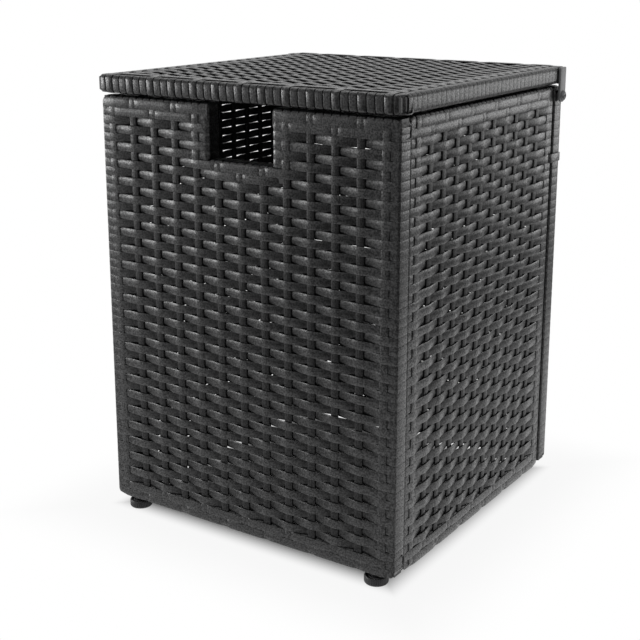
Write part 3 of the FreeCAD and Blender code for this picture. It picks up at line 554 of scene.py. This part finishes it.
class Woven:
    """One woven panel in its own frame: X across from its middle, Y in from the crest of its weave, Z up.

    On the lid, Z runs to the rear from its middle."""

    def __init__(self, name, body, half, low, high, columns, flip, place, notched=False):
        weaving = sizes("weaving")
        self.name = name
        self.body = body
        self.wall = body == "case"
        self.edge_tone = WALL_EDGE if self.wall else LID_EDGE
        self.bend = weaving.rail_bend if self.wall else weaving.roll
        self.half = half
        self.low = low
        self.high = high
        self.flip = flip
        self.place = place
        self.weaving = weaving
        self.skin = weaving.thickness / 2.0
        self.back = weaving.depth - self.skin
        self.tail = weaving.wrapped_tube - self.skin
        self.notch = (weaving.notch_width / 2.0, weaving.notch_lip) if notched else None
        self.rows = [high - weaving.top_row] if self.wall else []
        following = high - (weaving.next_row if self.wall else weaving.lid_row)
        lowest = low + (LAST_ROW if self.wall else weaving.lid_row - MM)
        while following > lowest:
            self.rows.append(following)
            following -= weaving.row_pitch
        span = half - weaving.upright_inset
        self.uprights = [-span + index * 2.0 * span / (columns - 1) for index in range(columns)]

    def edge_distance(self, x, z):
        """From a point of the panel to its nearest edge, the notch's too."""
        distances = [self.half - abs(x), z - self.low, self.high - z]
        if self.notch:
            side, lip = self.notch
            distances.append(math.hypot(max(abs(x) - side, 0.0), max(lip - z, 0.0)))
        return min(distances)

    def on_tube(self, column, row):
        """Whether a crossing lies on one of the frame's tubes."""
        distance = self.edge_distance(self.uprights[column], self.rows[row])
        return distance < self.weaving.wrapped_tube + TUBE_MARGIN

    def row_over(self, column, row):
        """Whether the row lies over the upright where they cross."""
        return (column + row + self.flip) % 2 == 0

    def crossing(self, column, row):
        """Depth of the row's and of the upright's middle where they cross."""
        over, under = ON_TUBE if self.on_tube(column, row) else IN_OPEN
        return over if self.row_over(column, row) else under

    def top_at(self, x):
        """Height of the upper edge over a place."""
        if self.notch and abs(x) < self.notch[0]:
            return self.notch[1]
        return self.high

    def spans(self, z):
        """Left and right end of each stretch of weave at a height."""
        if self.notch and z > self.notch[1]:
            side = self.notch[0]
            return [(-self.half, -side), (side, self.half)]
        return [(-self.half, self.half)]

    def settle(self, point):
        """Draws a point in where the panel's corners are rounded."""
        corner = self.weaving.corner
        reach = min(abs(point.x) - (self.half - corner), corner)
        if reach <= 0.0:
            return point
        drop = corner - math.sqrt(corner * corner - reach * reach)
        middle = (self.low + self.high) / 2.0
        zone = 5.0 * corner
        near_edge = (abs(point.z - middle) - (self.high - middle - zone)) / zone
        share = max(near_edge, 0.0) ** 2
        return Vector((point.x, point.y, point.z - math.copysign(drop * share, point.z - middle)))

    def row_line(self, row, start, end):
        """Middle line of one row from one wrapped post to the other, seen from above.

        Each point has its width and arch with it."""
        weaving = self.weaving
        skin, back, inner = self.skin, self.back, self.tail
        columns = [c for c, x in enumerate(self.uprights) if start < x < end]
        wide = weaving.top_row_width if self.wall and row == 0 else weaving.row_width
        line = []
        for column, following in zip(columns, columns[1:]):
            depth = self.crossing(column, row)[0]
            next_depth = self.crossing(following, row)[0]
            x, next_x = self.uprights[column], self.uprights[following]
            flat = self.on_tube(column, row) and self.on_tube(following, row)
            rising = depth > next_depth
            for share in ROW_STEPS:
                past_dive = share if rising else 1.0 - share
                climb = max((past_dive - OPEN_REST) / (1.0 - OPEN_REST), 0.0)
                if flat:
                    climb = smooth(past_dive / TUBE_CLIMB)
                part = climb if rising else 1.0 - climb
                from_dive = past_dive * (next_x - x)
                section = self.section(from_dive, TUBE_SQUEEZE if flat else 1.0, wide)
                line.append((x + (next_x - x) * share, depth + (next_depth - depth) * part, *section))
        from_dive = FAR if self.row_over(columns[-1], row) else 0.0
        section = self.section(from_dive, TUBE_SQUEEZE, wide)
        line.append((self.uprights[columns[-1]], self.crossing(columns[-1], row)[0], *section))
        for edge, inward in ((start, 1.0), (end, -1.0)):
            bend = weaving.roll
            section = (wide, weaving.post_arch)
            if self.wall and abs(edge) > self.half - MM:
                bend = weaving.post_bend * (1.0 if self.name in ("front", "back") else SIDE_BEND)
            elif self.wall:
                section = (NOTCH_SHARE * wide, 2.0 * weaving.post_arch)
            begin, outside, inside = (edge + inward * reach for reach in (TURN_ROOM + bend, skin, inner))
            turn = rounded([(begin, EDGE_DEPTH), (outside, EDGE_DEPTH), (outside, back)], bend)[:-1]
            past_turn = (outside, turn[-1].y + HAIR)
            turn += rounded([past_turn, (outside, back), (inside, back), (inside, TUCK)], bend)[1:]
            turn = [(x, y, *section) for x, y in turn]
            line = [*reversed(turn), *line] if inward > 0.0 else [*line, *turn]
        return line

    def section(self, from_dive, share, wide):
        """Width and arch of a row at a distance from where it goes under an upright."""
        weaving = self.weaving
        tight = share * (1.0 - smooth((from_dive - SQUEEZED) / RELEASE))
        if self.wall:
            return wide * (1.0 - weaving.squeeze * tight), weaving.arch + weaving.curl * tight
        return wide * (1.0 - 2.0 * weaving.squeeze * tight), weaving.arch

    def upright_line(self, column):
        """Middle line of one upright from behind the top rail to behind the bottom one, from the side."""
        skin, back, tail = self.skin, self.back, self.tail
        top = self.top_at(self.uprights[column])
        rows = [r for r, z in enumerate(self.rows) if z < top]
        depths = [self.crossing(column, row)[1] for row in rows]
        first = last = EDGE_DEPTH
        if self.wall:
            first, last = (depths[0] + EDGE_DEPTH) / 2.0, (depths[-1] + EDGE_DEPTH) / 2.0
        line = rounded(
            [(back, top - tail), (back, top - skin), (first, top - skin), (depths[0], self.rows[rows[0]])],
            self.bend,
        )
        for depth, next_depth, row in zip(depths, depths[1:], rows):
            upper, lower = self.rows[row], self.rows[row + 1]
            level = TUBE_LEVEL if self.on_tube(column, row) else OPEN_LEVEL
            line.append(Vector((depth, upper + level * (lower - upper))))
            line.append(Vector((next_depth, upper + (1.0 - level) * (lower - upper))))
        low, lowest = self.low + skin, self.rows[rows[-1]]
        line += rounded(
            [(depths[-1], lowest - 2.0 * HAIR), (last, low), (back, low), (back, self.low + tail)],
            LOW_BEND * self.weaving.rail_bend,
        )[1:]
        return line

    def lean(self, y, z, rail_top):
        """Sideways shift of a strip wound round a rail; the bottom rail's has no rail_top."""
        tube = self.weaving.wrapped_tube
        inwards = min(max((y - EDGE_DEPTH) / tube, 0.0), 1.0)
        rise = (z - rail_top + tube) / tube if rail_top else (self.low + tube - z) / tube
        rise = min(max(rise, 0.0), 1.0)
        share = FACE_SLANT * rise * (1.0 - inwards) + inwards * (1.0 - BACK_SLANT * rise)
        return self.weaving.slant * share

    def edge_wraps(self):
        """Place, width and upper height of each strip wound round a rail."""
        weaving = self.weaving
        rails = [(span, self.high) for span in self.spans(self.high - MM)]
        rails.append(((-self.half, self.half), self.low + weaving.wrapped_tube))
        if self.notch:
            rails.append(((-self.notch[0], self.notch[0]), self.notch[1]))
        clear = (weaving.upright_width + weaving.wrap_gap) / 2.0
        for (start, end), height in rails:
            inside = [x for x in self.uprights if start < x < end]
            edges = [start + END_GAP, *inside, end - END_GAP]
            for index, (first, second) in enumerate(zip(edges, edges[1:])):
                left = first if index == 0 else first + clear
                right = second if index == len(inside) else second - clear
                if right - left < LEAST_WRAP:
                    continue
                count = max(1, round((right - left) / weaving.row_pitch))
                pitch = (right - left) / count
                for step in range(count):
                    yield left + (step + 0.5) * pitch, pitch - weaving.wrap_gap, height

    def wrap_line(self, height):
        """Middle line round a rail, seen from the side."""
        back = self.back
        high, low = height - self.skin, height - self.weaving.wrapped_tube + self.skin
        middle = (high + low) / 2.0
        corners = [(back, middle), (back, high), (EDGE_DEPTH, high), (EDGE_DEPTH, low), (back, low)]
        return rounded([*corners, (back, middle - HAIR)], self.bend, 4)


def stray(place, reach):
    """A smooth hand-made wander, from minus to plus reach."""
    return noise.noise(place) * reach * 2.0


ROW_WAVES, UPRIGHT_WAVES = 14.0, 9.0  # wanders in a metre
ROW_END = 12.0 * MM  # a row gets an edge's painted shade this near its ends
UPRIGHT_TOP, UPRIGHT_FOOT = 5.0 * MM, 10.0 * MM  # an upright gets an edge's painted shade this near its ends
UPRIGHT_HOLLOW = 1.5  # an upright gets the painted shade of a strip lying this much deeper
RAISED = 2.5 * MM  # an upright nearer the crest than this is as flat as on an edge


def lay_rows(panel, chance):
    """The strips that run across a panel."""
    weaving = panel.weaving
    mesh = new_strips()
    for row, height in enumerate(panel.rows):
        for start, end in panel.spans(height):
            own = chance.random() * 100.0
            line, widths, arches, hollows = [], [], [], []
            for x, y, width, arch in panel.row_line(row, start, end):
                wander = stray(Vector((x * ROW_WAVES, own, 0.0)), weaving.wobble)
                line.append(Vector((x, y, height + wander)))
                widths.append(width)
                arches.append(arch)
                hollows.append(y if min(x - start, end - x) > ROW_END else panel.edge_tone)
            lay_strip(mesh, line, UP, widths, arches, own, hollows, panel.settle)
    return mesh


def lay_uprights(panel, chance):
    """The strips that run from a panel's top to its bottom."""
    weaving = panel.weaving
    edge_arch = weaving.wrap_arch * (2.0 if panel.wall else 1.0)
    mesh = new_strips()
    for column, x in enumerate(panel.uprights):
        own = chance.random() * 100.0
        top = panel.top_at(x)
        middle = top / 2.0 + panel.low / 2.0
        line, hollows, arches = [], [], []
        for y, z in panel.upright_line(column):
            lean = panel.lean(y, z, top if z > middle else None)
            wander = stray(Vector((own, z * UPRIGHT_WAVES, 0.0)), weaving.wobble)
            line.append(Vector((x + lean + wander, y, z)))
            woven = panel.low + UPRIGHT_FOOT < z < top - UPRIGHT_TOP
            hollows.append(UPRIGHT_HOLLOW * y if woven else panel.edge_tone)
            arches.append(weaving.arch if y > RAISED else edge_arch)
        lay_strip(mesh, line, RIGHT, weaving.upright_width, arches, own, hollows)
    return mesh


def lay_wraps(panel, chance):
    """The strips wound round a panel's rails between its uprights."""
    weaving = panel.weaving
    mesh = new_strips()
    for x, width, height in panel.edge_wraps():
        own = chance.random() * 100.0
        rail_top = height if height > panel.low + 2.0 * weaving.wrapped_tube else None
        line = [Vector((x + panel.lean(y, z, rail_top), y, z)) for y, z in panel.wrap_line(height)]
        lay_strip(mesh, line, RIGHT, width, weaving.wrap_arch, own, panel.edge_tone, panel.settle)
    return mesh


def weave(panel, chance):
    """Lays the rows, uprights and edge wraps of a panel as three pieces."""
    for part, lay in (("rows", lay_rows), ("uprights", lay_uprights), ("edge_wraps", lay_wraps)):
        mesh = lay(panel, chance)
        thicken(mesh)
        bmesh.ops.transform(mesh, matrix=panel.place, verts=mesh.verts)
        add_piece(panel.name + "_" + part, mesh, panel.body, "woven_strip", [panel.name + "_weave"])


def turned(degrees, offset):
    """A panel's frame turned about Z, then moved."""
    return Matrix.Translation(offset) @ Matrix.Rotation(math.radians(degrees), 4, "Z")


class COVERTABLE_OT_weave_walls(bpy.types.Operator):
    """Weaves the front panel with its hose notch, the back panel and the two side panels"""

    bl_idname = "cover_table.weave_walls"
    bl_label = "Weave Walls"

    def execute(self, context):
        weaving = sizes("weaving")
        chance = random.Random(SEED)
        half, side_half, face = weaving.body_width / 2.0, weaving.side_width / 2.0, weaving.side_face
        walls = [
            ("front", half, WIDE_UPRIGHTS, 0, turned(0, (0.0, -face, 0.0)), True),
            ("back", half, WIDE_UPRIGHTS, 0, turned(180, (0.0, face, 0.0)), False),
            ("right", side_half, SIDE_UPRIGHTS, 1, turned(90, (face, 0.0, 0.0)), False),
            ("left", side_half, SIDE_UPRIGHTS, 1, turned(-90, (-face, 0.0, 0.0)), False),
        ]
        for name, half_width, columns, flip, place, notched in walls:
            panel = Woven(name, "case", half_width, weaving.low, weaving.high, columns, flip, place, notched)
            weave(panel, chance)
        return {"FINISHED"}


class COVERTABLE_OT_weave_lid(bpy.types.Operator):
    """Weaves the lid, with its uprights running from front to back"""

    bl_idname = "cover_table.weave_lid"
    bl_label = "Weave Lid"

    def execute(self, context):
        weaving = sizes("weaving")
        chance = random.Random(SEED + 1)
        half = weaving.lid_width / 2.0
        lying = Matrix.Rotation(math.radians(-90), 4, "X")
        place = Matrix.Translation((0.0, 0.0, weaving.lid_top)) @ lying
        weave(Woven("lid", "lid", half, -half, half, WIDE_UPRIGHTS, 0, place), chance)
        return {"FINISHED"}


# Fittings

CIRCLE = 2.0 * math.pi


def spin(mesh, points, angle, steps, **more):
    """Turns a line of new points about Z."""
    edges = [mesh.edges.new(pair) for pair in zip(points, points[1:])]
    bmesh.ops.spin(mesh, geom=points + edges, cent=(0.0, 0.0, 0.0), axis=UP, angle=angle, steps=steps, **more)


def spin_profile(mesh, profile, steps):
    """Turns a profile of radius and height about Z into a closed body."""
    points = [mesh.verts.new((radius, 0.0, height)) for radius, height in profile]
    spin(mesh, points, CIRCLE, steps, use_merge=True)
    bmesh.ops.remove_doubles(mesh, verts=mesh.verts, dist=0.001 * MM)
    bmesh.ops.recalc_face_normals(mesh, faces=mesh.faces)


def bevel(mesh, edges, offset, segments):
    """Rounds edges of a mesh."""
    bmesh.ops.bevel(
        mesh, geom=edges, offset=offset, segments=segments, profile=0.5, affect="EDGES", material=-1
    )


def prism(mesh, segments, radius, depth, middle):
    """A closed upright prism on Z with its middle at a height, as its vertices."""
    made = bmesh.ops.create_cone(
        mesh, cap_ends=True, segments=segments, radius1=radius, radius2=radius, depth=depth
    )["verts"]
    bmesh.ops.translate(mesh, verts=made, vec=(0.0, 0.0, middle))
    return made


def take_in(mesh, other):
    """Adds another mesh to a mesh and frees it."""
    spare = bpy.data.meshes.new("spare")
    other.to_mesh(spare)
    other.free()
    mesh.from_mesh(spare)
    bpy.data.meshes.remove(spare)


def hexagon_reach(turn, flats):
    """Distance from the middle of a hexagon to its edge, in one direction."""
    sector = math.radians(60.0)
    return flats / 2.0 / math.cos((turn % sector) - sector / 2.0)


CHAMFER = 0.4 * MM  # edges of the feet's hubs and the hinge plates
KNURLS = 36  # grooves round a foot's rim
GROOVED, GROOVES_END = 1.5 * MM, 0.2 * MM  # how far in from the rim they run, and their lower end
SOLE = ((2.6, 0.0), (1.1, 0.5), (0.15, 1.7), (0.0, 2.4))  # in from the rim and up from the floor, in mm
CROWN = (  # in from the rim and down from its top, in mm
    (0.0, 1.0), (0.7, 0.0), (2.1, 0.0), (2.6, 1.2), (4.2, 1.2), (4.7, 0.3), (5.7, 0.3), (6.1, 1.0),
)
THREAD = ((0.0, False), (0.44, True), (0.56, True), (1.0, False))  # share of the pitch, and if on the crest
THREAD_DEPTH = 0.61  # of the pitch
THREAD_STEPS = 18  # in one turn


def foot_thread(fittings, root):
    """The stud's thread, closed at both ends."""
    pitch = fittings.thread_pitch
    turns = round((fittings.stud_top - fittings.hub_top) / pitch) - 1
    start = fittings.hub_top - 0.5 * pitch
    thread = bmesh.new()
    points = []
    for height, crest in THREAD:
        radius = fittings.stud / 2.0 if crest else root
        points.append(thread.verts.new((radius, 0.0, start + height * pitch)))
    spin(thread, points, CIRCLE * turns, THREAD_STEPS * turns, dvec=(0.0, 0.0, pitch / THREAD_STEPS))
    bmesh.ops.remove_doubles(thread, verts=thread.verts, dist=0.01 * MM)
    bmesh.ops.holes_fill(thread, edges=[edge for edge in thread.edges if edge.is_boundary], sides=0)
    bmesh.ops.recalc_face_normals(thread, faces=thread.faces)
    return thread


def knurled_foot():
    """A levelling foot: knurled rim, grooved top, six-sided hub and threaded stud, standing on Z 0."""
    fittings = sizes("fittings")
    rim, top, hub_top = fittings.foot_size / 2.0, fittings.foot_height, fittings.hub_top
    mesh = bmesh.new()
    profile = [(0.0, 0.0)]
    profile += [(rim - inwards * MM, height * MM) for inwards, height in SOLE]
    profile += [(rim - inwards * MM, top - drop * MM) for inwards, drop in CROWN]
    profile.append((0.0, top - 1.0 * MM))
    spin_profile(mesh, profile, 4 * KNURLS)
    for vert in mesh.verts:
        reach = vert.co.xy.length
        if reach > rim - GROOVED and vert.co.z > GROOVES_END:
            turn = math.atan2(vert.co.y, vert.co.x) * KNURLS
            groove = max(0.0, math.cos(turn)) ** 2 * fittings.knurl
            vert.co.xy *= (reach - groove) / reach
    sunk = 2.0 * MM
    hub = prism(
        mesh, 6, fittings.hub_width / math.sqrt(3.0), hub_top - top + sunk, (hub_top + top - sunk) / 2.0
    )
    rim_edges = {edge for vert in hub for edge in vert.link_edges}
    bevel(mesh, list(rim_edges), CHAMFER, 2)
    root = fittings.stud / 2.0 - THREAD_DEPTH * fittings.thread_pitch
    take_in(mesh, foot_thread(fittings, root))
    stud_top = fittings.stud_top
    prism(mesh, 24, root, stud_top - hub_top + MM, (stud_top + hub_top - MM) / 2.0)
    return mesh


class COVERTABLE_OT_add_feet(bpy.types.Operator):
    """Adds the eight knurled levelling feet"""

    bl_idname = "cover_table.add_feet"
    bl_label = "Add Levelling Feet"

    def execute(self, context):
        for body in frame["bodies"]:
            if not body.startswith("foot_"):
                continue
            low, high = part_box(body)
            mesh = knurled_foot()
            place = ((low.x + high.x) / 2.0, (low.y + high.y) / 2.0, low.z)
            bmesh.ops.translate(mesh, verts=mesh.verts, vec=place)
            add_piece(body + "_moulded", mesh, body, "foot_plastic", [body])
        return {"FINISHED"}


def mirrored_to(mesh, side):
    """Turns a fitting made for the right side into the left one where side is -1."""
    if side < 0:
        bmesh.ops.scale(mesh, vec=(-1.0, 1.0, 1.0), verts=mesh.verts)
        bmesh.ops.reverse_faces(mesh, faces=mesh.faces)


WELD = 10.0 * MM  # height and depth of the block that joins a hinge plate to the lid
WELD_RISE = 25.0 * MM  # from the pivot up to its middle
WELD_BITE = 0.4 * MM  # how far it reaches into the plate
PLATE_CORNER = 2.0 * MM  # bevel of a hinge plate's upper corners
BOLT_LENGTH, BOLT_RADIUS = 20.0 * MM, 3.0 * MM  # the hinge bolt's shank


def end_edges(mesh, end):
    """The edges across a bar's thickness at its lower end, for -1, or at its upper end, for 1."""
    chosen = []
    for edge in mesh.edges:
        first, second = (vert.co for vert in edge.verts)
        if first.z * end > 0 and second.z * end > 0 and abs(first.x - second.x) > MM:
            chosen.append(edge)
    return chosen


def hinge_bar(fittings, low, high, pivot):
    """The right hinge plate between two corners: flat bar with a round lower end, and its weld."""
    middle = (low.y + high.y) / 2.0
    mesh = bmesh.new()
    bmesh.ops.create_cube(mesh, size=1.0)
    size = (fittings.plate_thickness, fittings.plate_width, high.z - low.z)
    bmesh.ops.scale(mesh, vec=size, verts=mesh.verts)
    bevel(mesh, end_edges(mesh, -1), fittings.plate_width / 2.0 - HAIR / 2.0, 12)
    bevel(mesh, end_edges(mesh, 1), PLATE_CORNER, 4)
    rims = [edge for edge in mesh.edges if edge.calc_face_angle(0.0) > math.radians(60)]
    bevel(mesh, rims, CHAMFER, 2)
    place = (high.x - fittings.plate_thickness / 2.0, middle, (low.z + high.z) / 2.0)
    bmesh.ops.translate(mesh, verts=mesh.verts, vec=place)
    weld = bmesh.ops.create_cube(mesh, size=1.0)["verts"]
    inner = high.x - fittings.plate_thickness - low.x
    bmesh.ops.scale(mesh, vec=(inner + WELD_BITE, WELD, WELD), verts=weld)
    place = (low.x + inner / 2.0 + WELD_BITE / 2.0, middle, pivot + WELD_RISE)
    bmesh.ops.translate(mesh, verts=weld, vec=place)
    return mesh


def dome_bolt(fittings):
    """A bolt with a dome head and a six-sided socket, its head from Z 0 upwards and its shank below."""
    rim, rise, socket = fittings.head_width / 2.0, fittings.head_height, fittings.socket_width / 2.0
    lip, tip = 0.35 * MM, 0.5 * MM
    profile = [
        (0.0, -BOLT_LENGTH), (BOLT_RADIUS - tip, -BOLT_LENGTH), (BOLT_RADIUS, -BOLT_LENGTH + tip),
        (BOLT_RADIUS, 0.0), (rim - 0.2 * MM, 0.0), (rim, lip),
    ]
    for step in range(1, 6):
        turn = step / 6.0 * math.pi / 2.0
        radius = socket + (rim - socket) * math.cos(turn)
        profile.append((radius, lip + (rise - lip) * math.sin(turn)))
    profile += [
        (socket * 1.12, rise), (socket, rise - 0.15 * MM), (socket * 0.98, rise - 2.0 * MM),
        (0.0, rise - 2.4 * MM),
    ]
    mesh = bmesh.new()
    spin_profile(mesh, profile, 48)
    for vert in mesh.verts:
        reach = vert.co.xy.length
        if vert.co.z > 0 and 0.5 * socket < reach < 1.05 * socket:
            wanted = hexagon_reach(math.atan2(vert.co.y, vert.co.x), fittings.socket_width)
            vert.co.xy *= wanted * (reach / socket) / reach
    return mesh


class COVERTABLE_OT_add_hinges(bpy.types.Operator):
    """Adds the two flat bar hinge plates and their dome head bolts"""

    bl_idname = "cover_table.add_hinges"
    bl_label = "Add Hinges"

    def execute(self, context):
        fittings = sizes("fittings")
        low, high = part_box("hinge_plate_right")
        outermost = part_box("hinge_bolts")[1].x
        pivot = low.z + fittings.plate_width / 2.0
        place = (outermost - fittings.head_height, (low.y + high.y) / 2.0, pivot)
        bolts = bmesh.new()
        for side, name in ((1, "right"), (-1, "left")):
            bar = hinge_bar(fittings, low, high, pivot)
            mirrored_to(bar, side)
            add_piece("hinge_plate_bar_" + name, bar, "lid", "grey_steel", ["hinge_plate_" + name])
            head = dome_bolt(fittings)
            bmesh.ops.rotate(head, verts=head.verts, matrix=Matrix.Rotation(math.radians(90), 3, "Y"))
            bmesh.ops.translate(head, verts=head.verts, vec=place)
            mirrored_to(head, side)
            take_in(bolts, head)
        add_piece("hinge_bolt_heads", bolts, "case", "zinc_steel", ["hinge_bolts"])
        return {"FINISHED"}


TIE_BEND, TIE_ARCH = 2.4 * MM, 0.25 * MM
TIE_TURN, TIE_SLOPE = 2.6 * MM, 5.0 * MM  # how far a tie's front end is turned in, and over what length


class COVERTABLE_OT_lace_ties(bpy.types.Operator):
    """Laces one strip round each rear corner, over the seam of side and back panel"""

    bl_idname = "cover_table.lace_ties"
    bl_label = "Lace Corner Ties"

    def execute(self, context):
        fittings = sizes("fittings")
        chance = random.Random(SEED + 2)
        skin = sizes("weaving").thickness / 2.0
        for side, name in ((1, "right"), (-1, "left")):
            low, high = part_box("corner_tie_" + name)
            outer, inner = max(abs(low.x), abs(high.x)), min(abs(low.x), abs(high.x))
            corners = [
                (outer - TIE_TURN, low.y), (outer - skin, low.y + TIE_SLOPE), (outer - skin, high.y - skin),
                (inner, high.y - skin),
            ]
            middle = (low.z + high.z) / 2.0
            line = [Vector((x, y, middle)) for x, y in rounded(corners, TIE_BEND)]
            own = chance.random() * 100.0
            mesh = new_strips()
            lay_strip(mesh, line, UP, fittings.tie_width, TIE_ARCH, own)
            thicken(mesh)
            mirrored_to(mesh, side)
            add_piece("tie_strip_" + name, mesh, "case", "woven_strip", ["corner_tie_" + name])
        return {"FINISHED"}


class COVERTABLE_OT_coat_frames(bpy.types.Operator):
    """Gives the tube frames, bars, nuts, bolts and pads their coats"""

    bl_idname = "cover_table.coat_frames"
    bl_label = "Coat Frames"

    def execute(self, context):
        slots = {part["node"]: part["material_slot"] for part in frame["record"]["subparts"]}
        for name, node in frame["nodes"].items():
            if name not in slots:
                raise RuntimeError(name + " has no finish")
            node.data.materials.clear()
            node.data.materials.append(finish_of(slots[name]))
        return {"FINISHED"}


# Studio

AIM = (0.0, 0.0, 0.3)  # where the lights point, in metres
LIGHTS = (  # place, width and height of each, in metres
    ("left", (-4.1, -1.95, 0.5), 3.2, 1.0),
    ("right", (1.35, 2.0, 0.32), 1.5, 0.6),
    ("top", (-0.5, 0.3, 2.3), 1.4, 1.4),
)
FLOOR_RADIUS = 6.0  # in metres
MIRRORED_WHITE = 0.7  # the surroundings as smooth coats mirror them


def soft_light(name, place, width, height, power):
    """A soft light that points at the table."""
    data = bpy.data.lights.new(name, "AREA")
    data.shape = "RECTANGLE"
    data.size = width
    data.size_y = height
    data.energy = power
    light = bpy.data.objects.new(name, data)
    light.location = place
    light.rotation_mode = "QUATERNION"
    light.rotation_quaternion = (Vector(AIM) - Vector(place)).to_track_quat("-Z", "Y")
    bpy.context.scene.collection.objects.link(light)


class COVERTABLE_OT_set_up_studio(bpy.types.Operator):
    """Adds the pale floor, the soft lights, the white surroundings and the camera"""

    bl_idname = "cover_table.set_up_studio"
    bl_label = "Set Up Studio"

    def execute(self, context):
        scene = context.scene
        settings, finishes = sizes("studio"), sizes("finishes")
        mesh = bmesh.new()
        bmesh.ops.create_circle(mesh, cap_ends=True, radius=FLOOR_RADIUS, segments=64)
        data = bpy.data.meshes.new("floor")
        mesh.to_mesh(data)
        mesh.free()
        data.materials.append(floor_material(finishes))
        floor = bpy.data.objects.new("floor", data)
        scene.collection.objects.link(floor)

        for name, place, width, height in LIGHTS:
            soft_light(name + "_light", place, width, height, getattr(settings, name + "_power"))

        world = bpy.data.worlds.new("surroundings")
        scene.world = world
        world.use_nodes = True
        tree = world.node_tree
        tree.nodes.clear()
        seen, mirrored = sight(tree)
        strength = seen.larger(mirrored * MIRRORED_WHITE) * (1.0 - settings.sky) + settings.sky
        light = add_node(tree, "Background", Color=(1.0, 1.0, 1.0, 1.0), Strength=strength)
        output = tree.nodes.new("ShaderNodeOutputWorld")
        light.feed(output.inputs[0])

        lens = bpy.data.cameras.new("camera")
        lens.lens = settings.lens
        lens.sensor_width = 36.0
        lens.shift_y = settings.frame_shift
        lens.clip_start = 0.01
        lens.clip_end = 50.0
        camera = bpy.data.objects.new("camera", lens)
        camera.location = (settings.camera_x, -settings.camera_front, settings.camera_height)
        camera.rotation_euler = (math.pi / 2.0 - settings.tilt, 0.0, settings.turn)
        scene.collection.objects.link(camera)
        scene.camera = camera
        scene.view_settings.view_transform = "Standard"
        return {"FINISHED"}


class COVERTABLE_PT_table(bpy.types.Panel):
    """Steps and sizes of the tank cover table"""

    bl_idname = "COVERTABLE_PT_table"
    bl_label = "Tank Cover Table"
    bl_space_type = "VIEW_3D"
    bl_region_type = "UI"
    bl_category = "Cover Table"

    def draw(self, context):
        for step in STEPS:
            self.layout.operator(step.bl_idname)
        for group, kind in GROUPS.items():
            box = self.layout.box()
            for name in kind.__annotations__:
                box.prop(sizes(group), name)


GROUPS = {"weaving": WeavingSizes, "fittings": FittingSizes, "finishes": Finishes, "studio": StudioSettings}
STEPS = (
    COVERTABLE_OT_coat_frames,
    COVERTABLE_OT_weave_walls,
    COVERTABLE_OT_weave_lid,
    COVERTABLE_OT_add_feet,
    COVERTABLE_OT_add_hinges,
    COVERTABLE_OT_lace_ties,
    COVERTABLE_OT_set_up_studio,
)


def register():
    for kind in (*GROUPS.values(), *STEPS, COVERTABLE_PT_table):
        bpy.utils.register_class(kind)
    for group, kind in GROUPS.items():
        setattr(bpy.types.Scene, "cover_" + group, bpy.props.PointerProperty(type=kind))


def unregister():
    for group in GROUPS:
        delattr(bpy.types.Scene, "cover_" + group)
    for kind in (COVERTABLE_PT_table, *reversed(STEPS), *GROUPS.values()):
        bpy.utils.unregister_class(kind)


def main():
    register()
    bpy.ops.cover_table.coat_frames()
    bpy.ops.cover_table.weave_walls()
    bpy.ops.cover_table.weave_lid()
    bpy.ops.cover_table.add_feet()
    bpy.ops.cover_table.add_hinges()
    bpy.ops.cover_table.lace_ties()
    bpy.ops.cover_table.set_up_studio()


if __name__ == "__main__":
    main()
